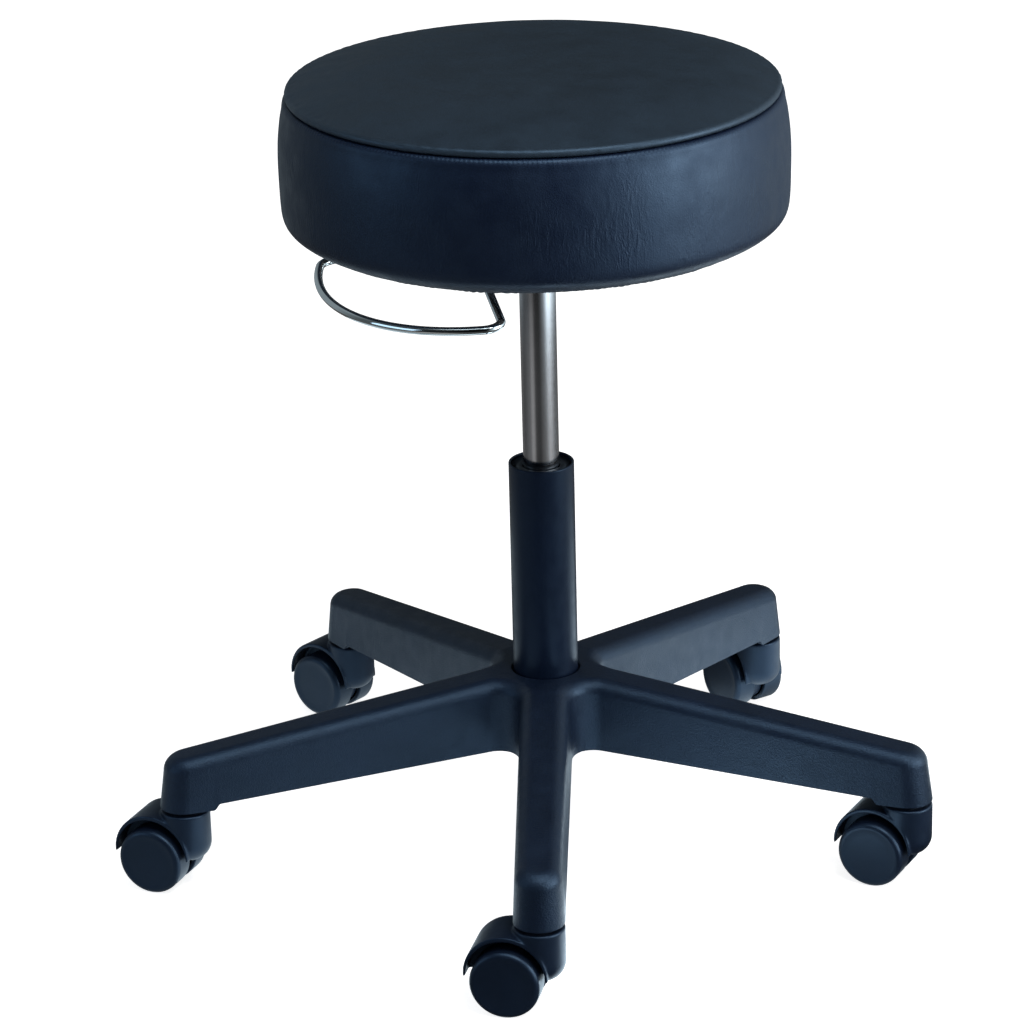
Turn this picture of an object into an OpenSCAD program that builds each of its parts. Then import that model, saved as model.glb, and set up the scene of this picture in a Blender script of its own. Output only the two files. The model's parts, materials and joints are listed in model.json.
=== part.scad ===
// Round stool on a gas lift and a five-legged base with twin-wheel casters.
// Lengths are in millimetres. The floor is z = 0, the column stands on the Z axis,
// and the first leg points along -Y. The lift is drawn right up.

/* [Seat] */
// Widest diameter of the cushion
seat_d = 384; // [350:1:420]
// Distance of the seam round the top panel inside the cushion's widest line
seam_inset = 7; // [-8:0.5:24]
// Height of the cushion's underside above the floor
seat_bottom_z = 507; // [495:0.1:540]
// Height of the side band, from the underside to the seam
side_h = 109.2; // [90:0.1:130]
// Rise of the crown above the seam
crown_h = 16.3; // [8:0.1:28]
// Thickness of the cover
cover_t = 1.2; // [0.8:0.1:2]
// Distance of the plywood board's edge inside the cushion's widest line
board_inset = 34; // [32:0.5:47]
// Thickness of the plywood board
board_t = 12; // [9:0.5:18]

/* [Base] */
// Number of legs
leg_count = 5; // [5:1:5]
// Diameter of the circle through the caster stems
caster_circle_d = 587; // [540:1:640]
// Width of a leg at its tip
leg_tip_w = 38.4; // [34:0.1:44]
// Width of a leg where it leaves the hub
leg_root_w = 41; // [38:0.1:50]
// Radius of the web between two legs
web_r = 18; // [12:1:26]
// Height of the leg tips' underside above the floor
boss_z = 70; // [66:0.1:80]
// Height of a leg tip
boss_h = 42.5; // [38:0.1:56]
// Rise of the crest of a leg from its tip to the hub
hub_rise = 32; // [20:0.1:44]
// Rounding along the top edges of the legs
edge_r = 11; // [6:0.5:14]
// Wall of the hollow legs
leg_wall = 3.2; // [2.4:0.1:4.5]

/* [Lift] */
// Outer diameter of the column tube
column_d = 50.8; // [46:0.1:54]
// Wall of the column tube
column_wall = 1.8; // [1.4:0.1:2.4]
// Height of the column's lower end above the floor
column_bottom_z = 80; // [74:0.5:82]
// Height of the column's upper end above the floor
column_top_z = 316.5; // [300:0.5:330]
// Outer diameter of the chromed pressure tube
tube_d = 28; // [26:0.5:30]
// Wall of the pressure tube
tube_wall = 2; // [1.5:0.1:2.5]
// Travel of the lift
stroke = 140; // [110:1:145]
// Diameter of the piston rod
rod_d = 10; // [8:0.5:11]

/* [Release] */
// Direction of the release ring, from +X towards +Y
ring_turn = 220; // [180:0.5:270]
// Diameter of the ring's wire
wire_d = 6.5; // [5:0.5:7]
// Radius of the ring's outer bow
bow_r = 146; // [130:1:150]
// Distance from the stool's axis to the bow's centre
bow_x = 25; // [20:1:36]
// Angle between an arm of the ring and its middle line
arm_turn = 60.5; // [54:0.5:64]
// Bend at the ring's two corners
corner_r = 11; // [10:1:18]
// Slope of the ring, down and outwards from the rocker's pivot
ring_droop = 8.5; // [5:0.5:10]
// Distance from the stool's axis to the rocker's pivot
pivot_x = 30; // [27:0.5:34]

/* [Casters] */
// Diameter of the wheels
wheel_d = 53; // [46:0.5:54]
// Width over the pair of wheels
pair_w = 48; // [44:0.5:56]
// Distance from the stem to the axle
trail = 22; // [17:0.5:24]
// Diameter of the axle
axle_d = 6; // [5:0.5:7]
// Gap between a leg tip and the caster under it
hood_gap = 3.4; // [2.5:0.1:5]

/* [Hidden] */
$fn = 96;

// Gap between two pieces of one body that lie against each other
seat_gap = 0.05;
// Gap round a shaft that turns or slides
run_gap = 0.05;
// Gap between soft pieces and what holds them
soft_gap = 0.3;
// Overrun of a cut past the face that it opens
cut = 1;

// Base: directions of the legs and heights along them
half_pitch = 180 / leg_count;
leg_turns = [for (k = [0:leg_count - 1]) -90 + 2 * half_pitch * k];
caster_r = caster_circle_d / 2;
tip_r = leg_tip_w / 2;
root_r = leg_root_w / 2;
// Distance from the axis at which the crest and the lower edge start
hub_r = 48;
web_centre_r = (root_r + web_r) / sin(half_pitch);
tip_top_z = boss_z + boss_h;
// Lower edge of a leg, above the underside of its tip, at the hub and at the tip
edge_root_h = 17;
edge_tip_h = 3.6;
// Length of the step from the leg's lower edge down to its tip
boss_step = 5;
// Draft of the side walls, and lean of the tip's outer wall
side_draft = 1.6;
tip_lean = 2.6;
// Roof over the hollow of a leg
leg_roof = 4.2;
rib_t = 2.6;
rib_count = 4;
// Barrel of the hub and the clear ring round the column at its top
barrel_wall = 6;
barrel_z = boss_z + 10;
ring_seat_h = 7;
ring_wall = 3.5;
collar_gap = 1.4;
collar_depth = 5;
web_steps = 6;
tip_steps = 7;
edge_steps = 6;
side_steps = 5;

// Column: its lower end narrows into the hub
column_r = column_d / 2;
taper_drop = 1.2;
hub_top_z = tip_top_z + hub_rise;
column_in_r = column_r - taper_drop - column_wall;
lip_t = 2;
lip_w = 4;
lip_chamfer = 0.6;
end_plate_t = 3;
rod_r = rod_d / 2;
spindle_r = rod_r - 1;
race_r = 14;
race_t = 2;
ball_r = 2;
ball_count = 9;
ball_circle_r = 10;
ball_gap = 0.03;
cage_t = 1.2;
cage_w = 6.5;
bumper_r = 11;
bumper_h = 14;
stop_gap = 2;
end_plate_z = column_bottom_z + lip_t;
lower_race_z = end_plate_z + end_plate_t;
ball_z = lower_race_z + race_t + ball_gap + ball_r;
upper_race_z = ball_z + ball_r + ball_gap;
bumper_z = upper_race_z + race_t;
clip_t = 1;
clip_w = 3;
rod_bottom_z = column_bottom_z + 0.1 * lip_t;

// Pressure tube, with the lift right up
tube_r = tube_d / 2;
tube_in_r = tube_r - tube_wall;
tube_bottom_z = bumper_z + bumper_h + stroke + stop_gap;
bush_h = 70;
bush_sink = 2.6;
bush_rim = 1.6;
gland_h = 16;
gland_sink = 1;
piston_h = 10;
piston_z = tube_bottom_z + gland_sink + gland_h + stop_gap;

// Seat stack, from the cushion's underside down and up
dust_t = 0.8;
plate_t = 3;
plate_top_z = seat_bottom_z - dust_t;
plate_z = plate_top_z - plate_t;
board_z = seat_bottom_z + cover_t;
board_top_z = board_z + board_t;
seat_r = seat_d / 2;
board_r = seat_r - board_inset;
seam_r = seat_r - seam_inset;
seam_z = seat_bottom_z + side_h;
wrap_w = 12;
dust_r = board_r - 3;
plate_w = 180;
plate_corner_r = 14;
plate_flange_h = 9;
lightening_r = 14;
bolt_spread = 65;
bolt_r = 3;
bolt_head_w = 10;
bolt_head_h = 4;
t_nut_r = 9.5;
t_nut_t = 1.2;
t_nut_barrel_r = 4;
t_nut_barrel_h = 9;
staple_count = 28;
staple_w = 10;
staple_t = 0.6;
staple_ring_r = dust_r - 4;
// Side band: radius as a share of the widest, height as a share of the band's height
side_shares = [[0.844, 0], [0.885, 0.012], [0.923, 0.04], [0.958, 0.072], [0.982, 0.11],
  [0.993, 0.16], [0.997, 0.24], [0.999, 0.36], [1, 0.52], [0.997, 0.66], [0.988, 0.8],
  [0.976, 0.91], [seam_r / seat_r, 1]];
crown_steps = 16;
// Flatness of the crown: the higher, the flatter its middle
crown_power = 4;
bead_r = 1.3;

// Release: heights below the seat plate
tongue_t = 2.5;
tongue_w = 12.6;
tongue_over = 4;
tongue_z = plate_z - soft_gap - tongue_t;
pivot_r = 2.5;
pivot_drop = 8;
pivot_z = tongue_z - pivot_drop;
wire_r = wire_d / 2;
rocker_t = 2;
stub_y = wire_r + 0.2;
rocker_in_w = 2 * (stub_y + wire_r + seat_gap);
rocker_w = rocker_in_w + 2 * rocker_t;
cheek_gap = 0.3;
cheek_t = 2.5;
cheek_len = 22;
cheek_y = rocker_w / 2 + cheek_gap;
rivet_head_r = 4;
rivet_head_t = 1.6;
stub_start = pivot_x + 6;
arm_bend_r = 8;
arm_x = 57;
pin_r = 3.5;
pin_tip_r = 1;
pin_tip_h = 1;
pin_top_z = tongue_z - soft_gap;
// Pressure tube top: it stops below the tongue's lowest reach
pin_travel = 3;
press_gap = 2;
tube_top_z = pin_top_z - pin_travel - press_gap;
taper_h = 30;
taper_in = 0.7;
socket_wall = 4.5;
socket_r = tube_r + socket_wall;
socket_h = plate_z - (tube_top_z - taper_h);
slot_gap = 0.7;
valve_h = 24;
pin_h = 17;

// Casters
wheel_r = wheel_d / 2;
hood_top_z = boss_z - hood_gap;
axle_z = wheel_r;
housing_r = tip_r;
housing_straight_h = 27;
housing_foot_r = 6;
housing_foot_z = axle_z - 1;
// The arch over the wheels and the canopy round it: arcs above straight sides
arch_gap = 3.4;
arch_rise = 3.5;
hood_wall = 1.8;
canopy_drop = 3.2;
arch_r = wheel_r + arch_gap;
arch_z = axle_z + arch_rise;
canopy_r = arch_r + hood_wall;
canopy_z = hood_top_z - canopy_drop - canopy_r;
canopy_w = 2 * housing_r;
lip_z = axle_z + 3;
web_t = 10.4;
web_r_out = wheel_r - 4;
thrust_gap = 0.2;
tyre_t = 3.5;
disc_t = 3;
rim_r = 3.5;
wheel_hub_r = 7;
axle_r = axle_d / 2;
axle_end_gap = 0.4;
stem_r = 5.1;
stem_h = 24;
stem_flange_r = 8.5;
stem_foot_r = 4;
stem_foot_h = 12;
socket_gap = 0.5;
groove_r = 4.2;
groove_h = 3;
groove_up = 15;
ring_split = 1.6;
// Directions in which the wheels trail, one for each leg
caster_turns = [168, 154, 125, 142, 158];

// Half width of a leg at the distance u from the axis
function leg_half_w(u) = root_r + (tip_r - root_r) * (u - hub_r) / (caster_r - hub_r);
// Height of the crest at the distance r from the axis
function crest(r) = tip_top_z + hub_rise * (caster_r - max(r, hub_r)) / (caster_r - hub_r);
// Height of a leg's lower edge at the distance u along it
function under(u) = u > caster_r - tip_r - boss_step / 2 ? boss_z
  : boss_z + edge_tip_h + (edge_root_h - edge_tip_h) * (caster_r - u) / (caster_r - hub_r);
side_start = web_centre_r * cos(half_pitch);
side_end = caster_r - tip_r - boss_step;
// Right half of a leg's outline, inset by d, from the web to the tip
function leg_half(d, lean) = concat(
  [for (i = [0:web_steps]) let (t = 180 - half_pitch - (90 - half_pitch) * i / web_steps)
    [side_start + (web_r + d) * cos(t), (web_r + d) * sin(t) - web_centre_r * sin(half_pitch)]],
  [for (i = [1:side_steps]) let (u = side_start + (side_end - side_start) * i / side_steps)
    [u, d - leg_half_w(u)]],
  [[caster_r - tip_r, d - leg_half_w(caster_r - tip_r)]],
  [for (i = [0:tip_steps]) let (t = 90 * i / tip_steps - 90)
    [caster_r - lean + (tip_r - d) * cos(t), (tip_r - d) * sin(t)]]);
// Whole outline of a leg, up to the first point of the next
function leg_outline(d, lean) = let (half = leg_half(d, lean)) concat(half,
  [for (i = [len(half) - 2:-1:1]) [half[i][0], -half[i][1]]]);
function turn(p, a) = [p[0] * cos(a) - p[1] * sin(a), p[0] * sin(a) + p[1] * cos(a)];
function star_outline(d, lean) =
  [for (a = leg_turns) for (p = leg_outline(d, lean)) turn(p, a)];
// One ring of the star's skin: its lower edge, then rings up to the crest
function star_ring(k) = k == 0
  ? [for (a = leg_turns) for (p = leg_outline(0, 0)) concat(turn(p, a), [under(p[0])])]
  : let (f = 90 * (k - 1) / edge_steps, d = side_draft + edge_r * (1 - cos(f)))
    [for (p = star_outline(d, tip_lean)) concat(p, [crest(norm(p)) - edge_r * (1 - sin(f))])];

module star_skin() {
  rings = edge_steps + 2;
  per_leg = len(leg_outline(0, 0));
  half = per_leg / 2 + 1;
  total = per_leg * leg_count;
  points = [for (k = [0:rings - 1]) each star_ring(k)];
  walls = [for (k = [0:rings - 2]) for (i = [0:total - 1])
    let (a = k * total + i, b = k * total + (i + 1) % total, c = b + total, e = a + total)
    each [[a, e, c], [a, c, b]]];
  function cap_faces(base) = [for (leg = [0:leg_count - 1]) for (j = [0:half - 2])
    let (s = leg * per_leg, r0 = base + s + j, r1 = r0 + 1,
      l0 = base + (s + (j == 0 ? per_leg : per_leg - j)) % total, l1 = base + s + per_leg - j - 1)
    each (j == half - 2 ? [[r0, l0, r1]] : [[r0, l0, l1], [r0, l1, r1]])];
  function core_faces(base) = [for (leg = [1:leg_count - 2])
    [base, base + (leg + 1) * per_leg, base + leg * per_leg]];
  top = concat(cap_faces((rings - 1) * total), core_faces((rings - 1) * total));
  bottom = [for (f = concat(cap_faces(0), core_faces(0))) [f[2], f[1], f[0]]];
  polyhedron(points, concat(walls, top, bottom));
}

// Radius of the column tube at the height z
function column_at(z) = z >= hub_top_z ? column_r
  : column_r - taper_drop * (hub_top_z - z) / (hub_top_z - column_bottom_z);
barrel_r = column_r + barrel_wall;

module leg_ribs() {
  for (a = leg_turns) rotate(a) {
    translate([0, -rib_t / 2, 0]) cube([caster_r, rib_t, hub_top_z]);
    for (i = [1:rib_count])
      translate([side_start + (side_end - side_start) * i / (rib_count + 1), -root_r, 0])
        cube([rib_t, leg_root_w, hub_top_z]);
  }
}

module leg_hollow() {
  inner_edge = side_draft + leg_wall;
  difference() {
    intersection() {
      linear_extrude(hub_top_z) polygon(star_outline(inner_edge, tip_lean));
      rotate_extrude() polygon([[0, 0], [caster_r, 0],
        [caster_r, crest(caster_r) - leg_roof - edge_r / 2],
        [hub_r, crest(hub_r) - leg_roof - edge_r / 2],
        [0, crest(hub_r) - leg_roof - edge_r / 2]]);
    }
    leg_ribs();
    cylinder(h = hub_top_z, r = barrel_r);
    for (a = leg_turns) rotate(a) translate([caster_r, 0, 0]) cylinder(h = hub_top_z, r = tip_r);
  }
}

module base_star() {
  color([0.10, 0.13, 0.18]) difference() {
    star_skin();
    leg_hollow();
    // Hub bore, with the seat of the steel ring below and a clear ring above
    rotate_extrude() polygon([[0, 0], [barrel_r + cut, 0], [barrel_r + cut, barrel_z],
      [column_at(barrel_z) + ring_wall + seat_gap, barrel_z],
      [column_at(barrel_z) + ring_wall + seat_gap, barrel_z + ring_seat_h],
      [column_at(barrel_z + ring_seat_h) + seat_gap, barrel_z + ring_seat_h],
      [column_at(hub_top_z - collar_depth) + seat_gap, hub_top_z - collar_depth],
      [column_r + collar_gap, hub_top_z - collar_depth],
      [column_r + collar_gap, hub_top_z + hub_rise], [0, hub_top_z + hub_rise]]);
    for (a = leg_turns) rotate(a) translate([caster_r, 0, boss_z - cut])
      cylinder(h = cut + stem_h + socket_gap, r = stem_r + socket_gap);
  }
}

module hub_ring() {
  color("silver") rotate_extrude() polygon([
    [column_at(barrel_z) + seat_gap, barrel_z],
    [column_at(barrel_z) + ring_wall, barrel_z],
    [column_at(barrel_z) + ring_wall, barrel_z + ring_seat_h],
    [column_at(barrel_z + ring_seat_h) + seat_gap, barrel_z + ring_seat_h]]);
}

module column_tube() {
  color([0.08, 0.10, 0.15]) rotate_extrude() polygon([
    [column_in_r - lip_w, column_bottom_z],
    [column_at(column_bottom_z), column_bottom_z],
    [column_r, hub_top_z],
    [column_r, column_top_z - lip_chamfer],
    [column_r - lip_chamfer, column_top_z],
    [column_in_r + taper_drop, column_top_z],
    [column_in_r + taper_drop, hub_top_z],
    [column_in_r, column_bottom_z + lip_t],
    [column_in_r - lip_w, column_bottom_z + lip_t]]);
}

// A flat ring with its lower face at z
module washer(z, h, r_out, r_in) {
  translate([0, 0, z]) difference() {
    cylinder(h = h, r = r_out);
    translate([0, 0, -cut]) cylinder(h = h + 2 * cut, r = r_in);
  }
}

module column_end_plate() {
  color("silver") washer(end_plate_z, end_plate_t, column_in_r - seat_gap, spindle_r + run_gap);
}

module guide_bush() {
  bush_r = column_in_r + taper_drop - seat_gap;
  bush_top_z = column_top_z - bush_sink;
  color([0.06, 0.06, 0.07]) rotate_extrude() polygon([
    [tube_r + run_gap, bush_top_z - bush_h], [bush_r, bush_top_z - bush_h],
    [bush_r, bush_top_z], [tube_r + run_gap + bush_rim, bush_top_z],
    [tube_r + run_gap, bush_top_z - bush_rim]]);
}

module bearing_lower_race() {
  color("silver") washer(lower_race_z, race_t, race_r, spindle_r + run_gap);
}

module bearing_balls() {
  color("silver") for (i = [0:ball_count - 1]) rotate(360 * i / ball_count)
    translate([ball_circle_r, 0, ball_z]) sphere(r = ball_r, $fn = 24);
}

module bearing_cage() {
  color("goldenrod") difference() {
    washer(ball_z - cage_t / 2, cage_t, ball_circle_r + cage_w / 2, ball_circle_r - cage_w / 2);
    for (i = [0:ball_count - 1]) rotate(360 * i / ball_count)
      translate([ball_circle_r, 0, ball_z - cage_t]) cylinder(h = 2 * cage_t, r = ball_r + run_gap, $fn = 24);
  }
}

module bearing_upper_race() {
  color("silver") washer(upper_race_z, race_t, race_r, spindle_r + seat_gap);
}

module bumper() {
  color("dimgray") washer(bumper_z + seat_gap, bumper_h, bumper_r, rod_r + seat_gap);
}

module piston_rod() {
  color("silver") union() {
    translate([0, 0, rod_bottom_z]) difference() {
      cylinder(h = bumper_z - rod_bottom_z, r = spindle_r);
      translate([0, 0, end_plate_z - rod_bottom_z - clip_t - run_gap]) difference() {
        cylinder(h = clip_t, r = spindle_r + cut);
        cylinder(h = clip_t, r = spindle_r - clip_t);
      }
    }
    translate([0, 0, bumper_z]) cylinder(h = piston_z + piston_h - bumper_z, r = rod_r);
  }
}

module rod_clip() {
  color("silver") difference() {
    washer(end_plate_z - clip_t - run_gap, clip_t - run_gap, spindle_r + clip_w,
      spindle_r - clip_t + run_gap);
    translate([0, -spindle_r + clip_t, end_plate_z - 2 * clip_t])
      cube([spindle_r + clip_w + cut, 2 * (spindle_r - clip_t), 2 * clip_t]);
  }
}

module piston() {
  color("gray") washer(piston_z, piston_h, tube_in_r - run_gap, rod_r + seat_gap);
}

module pressure_tube() {
  color([0.85, 0.86, 0.88]) rotate_extrude() polygon([
    [tube_in_r, tube_bottom_z], [tube_r - tube_wall / 2, tube_bottom_z],
    [tube_r, tube_bottom_z + tube_wall / 2],
    [tube_r, tube_top_z - taper_h], [tube_r - taper_in, tube_top_z],
    [tube_in_r, tube_top_z]]);
}

module rod_gland() {
  color([0.1, 0.1, 0.1]) washer(tube_bottom_z + gland_sink, gland_h, tube_in_r - seat_gap,
    rod_r + run_gap);
}

module valve_body() {
  color("goldenrod") translate([0, 0, tube_top_z - valve_h]) difference() {
    cylinder(h = valve_h, r = tube_in_r - seat_gap);
    translate([0, 0, valve_h - pin_h - pin_travel]) cylinder(h = pin_h + pin_travel + cut, r = pin_r + run_gap);
  }
}

module valve_pin() {
  color("silver") translate([0, 0, pin_top_z - pin_h]) rotate_extrude() polygon([
    [0, 0], [pin_r, 0], [pin_r, pin_h - pin_tip_h], [pin_tip_r, pin_h], [0, pin_h]]);
}

// Corners of a square pattern round the axis, turned with the release ring
module bolt_places() {
  rotate(ring_turn) for (x = [-1, 1], y = [-1, 1])
    translate([x * bolt_spread, y * bolt_spread, 0]) children();
}

module cheek(side) {
  foot = pivot_r + cheek_t;
  translate([0, side * (cheek_y + cheek_t / 2), 0]) rotate([90, 0, 0])
    translate([0, 0, -cheek_t / 2]) linear_extrude(cheek_t) difference() {
      union() {
        translate([pivot_x - cheek_len / 2, pivot_z]) square([cheek_len, plate_z - pivot_z]);
        translate([pivot_x, pivot_z]) circle(r = foot);
      }
      translate([pivot_x, pivot_z]) circle(r = pivot_r + run_gap);
    }
}

module plate_outline(inset) {
  half = plate_w / 2 - inset;
  corner = plate_corner_r - inset;
  square([2 * half, 2 * (half - corner)], center = true);
  square([2 * (half - corner), 2 * half], center = true);
  for (x = [-1, 1], y = [-1, 1])
    translate([x * (half - corner), y * (half - corner)]) circle(r = corner);
}

module seat_plate() {
  color([0.08, 0.09, 0.11]) rotate(ring_turn) {
    translate([0, 0, plate_z]) linear_extrude(plate_t) difference() {
      plate_outline(0);
      for (x = [-1, 1], y = [-1, 1])
        translate([x * bolt_spread, y * bolt_spread]) circle(r = bolt_r + run_gap);
      for (y = [-1, 1]) translate([0, y * bolt_spread]) circle(r = lightening_r);
      translate([-bolt_spread, 0]) circle(r = lightening_r);
    }
    // Turned-down edge
    translate([0, 0, plate_z - plate_flange_h]) linear_extrude(plate_flange_h) difference() {
      plate_outline(0);
      plate_outline(plate_t);
    }
    for (side = [-1, 1]) cheek(side);
    // Tapered socket for the pressure tube, slotted for the rocker's tongue
    difference() {
      rotate_extrude() polygon([
        [tube_r + seat_gap, plate_z - socket_h], [socket_r - lip_chamfer, plate_z - socket_h],
        [socket_r, plate_z - socket_h + lip_chamfer], [socket_r, plate_z],
        [tube_r - taper_in + seat_gap, plate_z], [tube_r - taper_in + seat_gap, tube_top_z]]);
      translate([0, -tongue_w / 2 - slot_gap, tube_top_z + seat_gap])
        cube([socket_r + cut, tongue_w + 2 * slot_gap, plate_z - tube_top_z - seat_gap]);
    }
  }
}

module plate_bolts() {
  color("silver") bolt_places() {
    translate([0, 0, plate_z - bolt_head_h]) cylinder(h = bolt_head_h, d = bolt_head_w / cos(30), $fn = 6);
    translate([0, 0, plate_z]) cylinder(h = board_top_z + t_nut_t - plate_z, r = bolt_r, $fn = 32);
  }
}

module t_nuts() {
  color("silver") bolt_places() difference() {
    union() {
      translate([0, 0, board_top_z]) cylinder(h = t_nut_t, r = t_nut_r, $fn = 32);
      translate([0, 0, board_top_z - t_nut_barrel_h]) cylinder(h = t_nut_barrel_h, r = t_nut_barrel_r, $fn = 32);
    }
    translate([0, 0, board_z]) cylinder(h = board_t + 2 * t_nut_t, r = bolt_r + run_gap, $fn = 32);
  }
}

module seat_board() {
  color("burlywood") difference() {
    translate([0, 0, board_z]) cylinder(h = board_t, r = board_r);
    bolt_places() translate([0, 0, board_z - cut])
      cylinder(h = board_t + 2 * cut, r = t_nut_barrel_r + seat_gap, $fn = 32);
  }
}

// Profile of the cushion, as [radius, height] points from the underside up over the crown
side_profile = [for (s = side_shares) [s[0] * seat_r, seat_bottom_z + s[1] * side_h]];
function crown_z(r) = seam_z + crown_h * (1 - pow(r / seam_r, crown_power));
crown_profile = [for (i = [0:crown_steps]) let (r = seam_r * sin(90 * (1 - i / crown_steps)))
  [r, crown_z(r)]];
// A profile moved by t to its left, which is inwards on these profiles
function unit(v) = v / norm(v);
function inward(pts, t) = [for (i = [0:len(pts) - 1])
  let (a = pts[max(i - 1, 0)], b = pts[min(i + 1, len(pts) - 1)], v = unit(b - a))
  [max(pts[i][0] - t * v[1], 0), pts[i][1] + t * v[0]]];
function backwards(pts) = [for (i = [len(pts) - 1:-1:0]) pts[i]];

module seat_cover_side() {
  outer = concat([[board_r - wrap_w, seat_bottom_z]], side_profile);
  top_gap = bead_r + cover_t / 2 + soft_gap;
  color([0.08, 0.10, 0.16]) intersection() {
    rotate_extrude($fn = 120) polygon(concat(outer, backwards(inward(outer, cover_t))));
    cylinder(h = seam_z - top_gap, r = seat_d);
  }
}

module seat_cover_top() {
  outer = crown_profile;
  inner = [for (p = outer) [p[0], p[1] - cover_t]];
  color([0.12, 0.15, 0.20]) {
    rotate_extrude($fn = 120) polygon(concat(outer, backwards(inner)));
    // Turned edge along the seam
    rotate_extrude($fn = 120) translate([seam_r - bead_r / 2, seam_z - cover_t / 2]) circle(r = bead_r, $fn = 16);
  }
}

module seat_foam() {
  depth = cover_t + soft_gap;
  side = inward(side_profile, depth);
  crown = [for (p = crown_profile) if (p[0] < seam_r - bead_r - depth)
    [p[0], p[1] - depth]];
  foot = [for (p = side) if (p[1] > board_z + soft_gap && p[1] < seam_z - bead_r - soft_gap) p];
  color("khaki") difference() {
    rotate_extrude($fn = 120) polygon(concat(
      [[board_r + soft_gap, board_z + soft_gap]], foot,
      [[seam_r - depth - 2 * bead_r, seam_z - bead_r - depth]], crown,
      [[0, board_top_z + soft_gap], [board_r + soft_gap, board_top_z + soft_gap]]));
    bolt_places() translate([0, 0, board_top_z])
      cylinder(h = t_nut_t + soft_gap, r = t_nut_r + soft_gap, $fn = 32);
  }
}

module dust_cover() {
  color("black") difference() {
    translate([0, 0, plate_top_z]) cylinder(h = dust_t, r = dust_r);
    bolt_places() translate([0, 0, plate_top_z - cut])
      cylinder(h = dust_t + 2 * cut, r = bolt_r + soft_gap, $fn = 32);
  }
}

module staples() {
  color("silver") for (i = [0:staple_count - 1]) rotate(360 * i / staple_count)
    translate([staple_ring_r - staple_t, -staple_w / 2, plate_top_z - staple_t])
      cube([2 * staple_t, staple_w, staple_t]);
}

// Height of the ring's middle plane at the distance x from the axis
function ring_at(x) = pivot_z - (x - pivot_x) * tan(ring_droop);

module release_rocker() {
  // Inner end of the side flanges, clear of the socket
  flange_start = socket_r + 1.5 * cheek_gap;
  flange_end = arm_start_x - arm_bend_len;
  flange_half = wire_r + rocker_t / 2;
  pivot_end = pivot_x + 2 * pivot_r;
  color([0.75, 0.76, 0.78]) rotate(ring_turn) difference() {
    union() {
      for (side = [-1, 1]) translate([0, side * (rocker_in_w + rocker_t) / 2, 0])
        rotate([90, 0, 0]) translate([0, 0, -rocker_t / 2]) linear_extrude(rocker_t)
          polygon([[flange_start, tongue_z + tongue_t], [flange_start, pivot_z - flange_half],
            [pivot_end, ring_at(pivot_end) - flange_half], [flange_end, ring_at(flange_end) - flange_half],
            [flange_end, ring_at(flange_end) + flange_half], [pivot_end, ring_at(pivot_end) + flange_half],
            [pivot_x - pivot_r, tongue_z + tongue_t]]);
      translate([flange_start, -rocker_w / 2, tongue_z])
        cube([pivot_x - pivot_r - flange_start, rocker_w, tongue_t]);
      translate([-tongue_over, -tongue_w / 2, tongue_z])
        cube([flange_start + tongue_over, tongue_w, tongue_t]);
    }
    translate([pivot_x, 0, pivot_z]) rotate([90, 0, 0])
      cylinder(h = 2 * rocker_w, r = pivot_r + run_gap, center = true);
  }
}

module rocker_pin() {
  half = cheek_y + cheek_t + run_gap;
  color("silver") rotate(ring_turn) translate([pivot_x, 0, pivot_z]) rotate([90, 0, 0]) {
    cylinder(h = 2 * half, r = pivot_r, center = true);
    for (side = [-1, 1]) translate([0, 0, side * (half + rivet_head_t / 2)])
      cylinder(h = rivet_head_t, r = rivet_head_r, center = true);
  }
}

// Release ring: two arms leave the rocker, bend at the corners and meet in the bow
arm_start_x = arm_x + stub_y / tan(arm_turn);
arm_bend_len = arm_bend_r * tan(arm_turn / 2);
corner_w = [arm_start_x - bow_x + corner_r * sin(arm_turn), stub_y - corner_r * cos(arm_turn)];
corner_dot = corner_w[0] * cos(arm_turn) + corner_w[1] * sin(arm_turn);
arm_len = sqrt(pow(corner_dot, 2) - pow(norm(corner_w), 2) + pow(bow_r - corner_r, 2)) - corner_dot;
corner_c = [bow_x + corner_w[0] + arm_len * cos(arm_turn), corner_w[1] + arm_len * sin(arm_turn)];
corner_end_turn = atan2(corner_c[1], corner_c[0] - bow_x);

module wire_arc(r, from, to) {
  rotate(from) rotate_extrude(angle = to - from) translate([r, 0]) circle(r = wire_r, $fn = 32);
}

module ring_side() {
  translate([stub_start, stub_y, 0]) rotate([0, 90, 0])
    cylinder(h = arm_start_x - arm_bend_len - stub_start, r = wire_r, $fn = 32);
  translate([arm_start_x - arm_bend_len, stub_y + arm_bend_r, 0]) wire_arc(arm_bend_r, -90, arm_turn - 90);
  translate([arm_start_x, stub_y, 0]) rotate([0, 90, arm_turn]) translate([0, 0, arm_bend_len])
    cylinder(h = arm_len - arm_bend_len, r = wire_r, $fn = 32);
  translate(corner_c) wire_arc(corner_r, corner_end_turn, 90 + arm_turn);
}

module d_ring() {
  color([0.9, 0.9, 0.92]) rotate(ring_turn) translate([pivot_x, 0, pivot_z]) rotate([0, ring_droop, 0])
    translate([-pivot_x, 0, 0]) {
      ring_side();
      mirror([0, 1, 0]) ring_side();
      translate([bow_x, 0, 0]) wire_arc(bow_r, -corner_end_turn, corner_end_turn);
    }
}

// Places a caster's piece: the stem is the Z axis and the wheels trail along +X
module caster_place(k) {
  rotate(leg_turns[k]) translate([caster_r, 0, 0]) rotate(caster_turns[k] - leg_turns[k]) children();
}

// Side view of an arch, as [x, z]: an arc of radius r round the height z, with straight sides below
module arch_shape(r, z, foot_z) {
  intersection() {
    translate([trail, z]) circle(r = r);
    translate([trail - r, z]) square([2 * r, r]);
  }
  translate([trail - r, foot_z]) square([2 * r, z - foot_z]);
}

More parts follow.
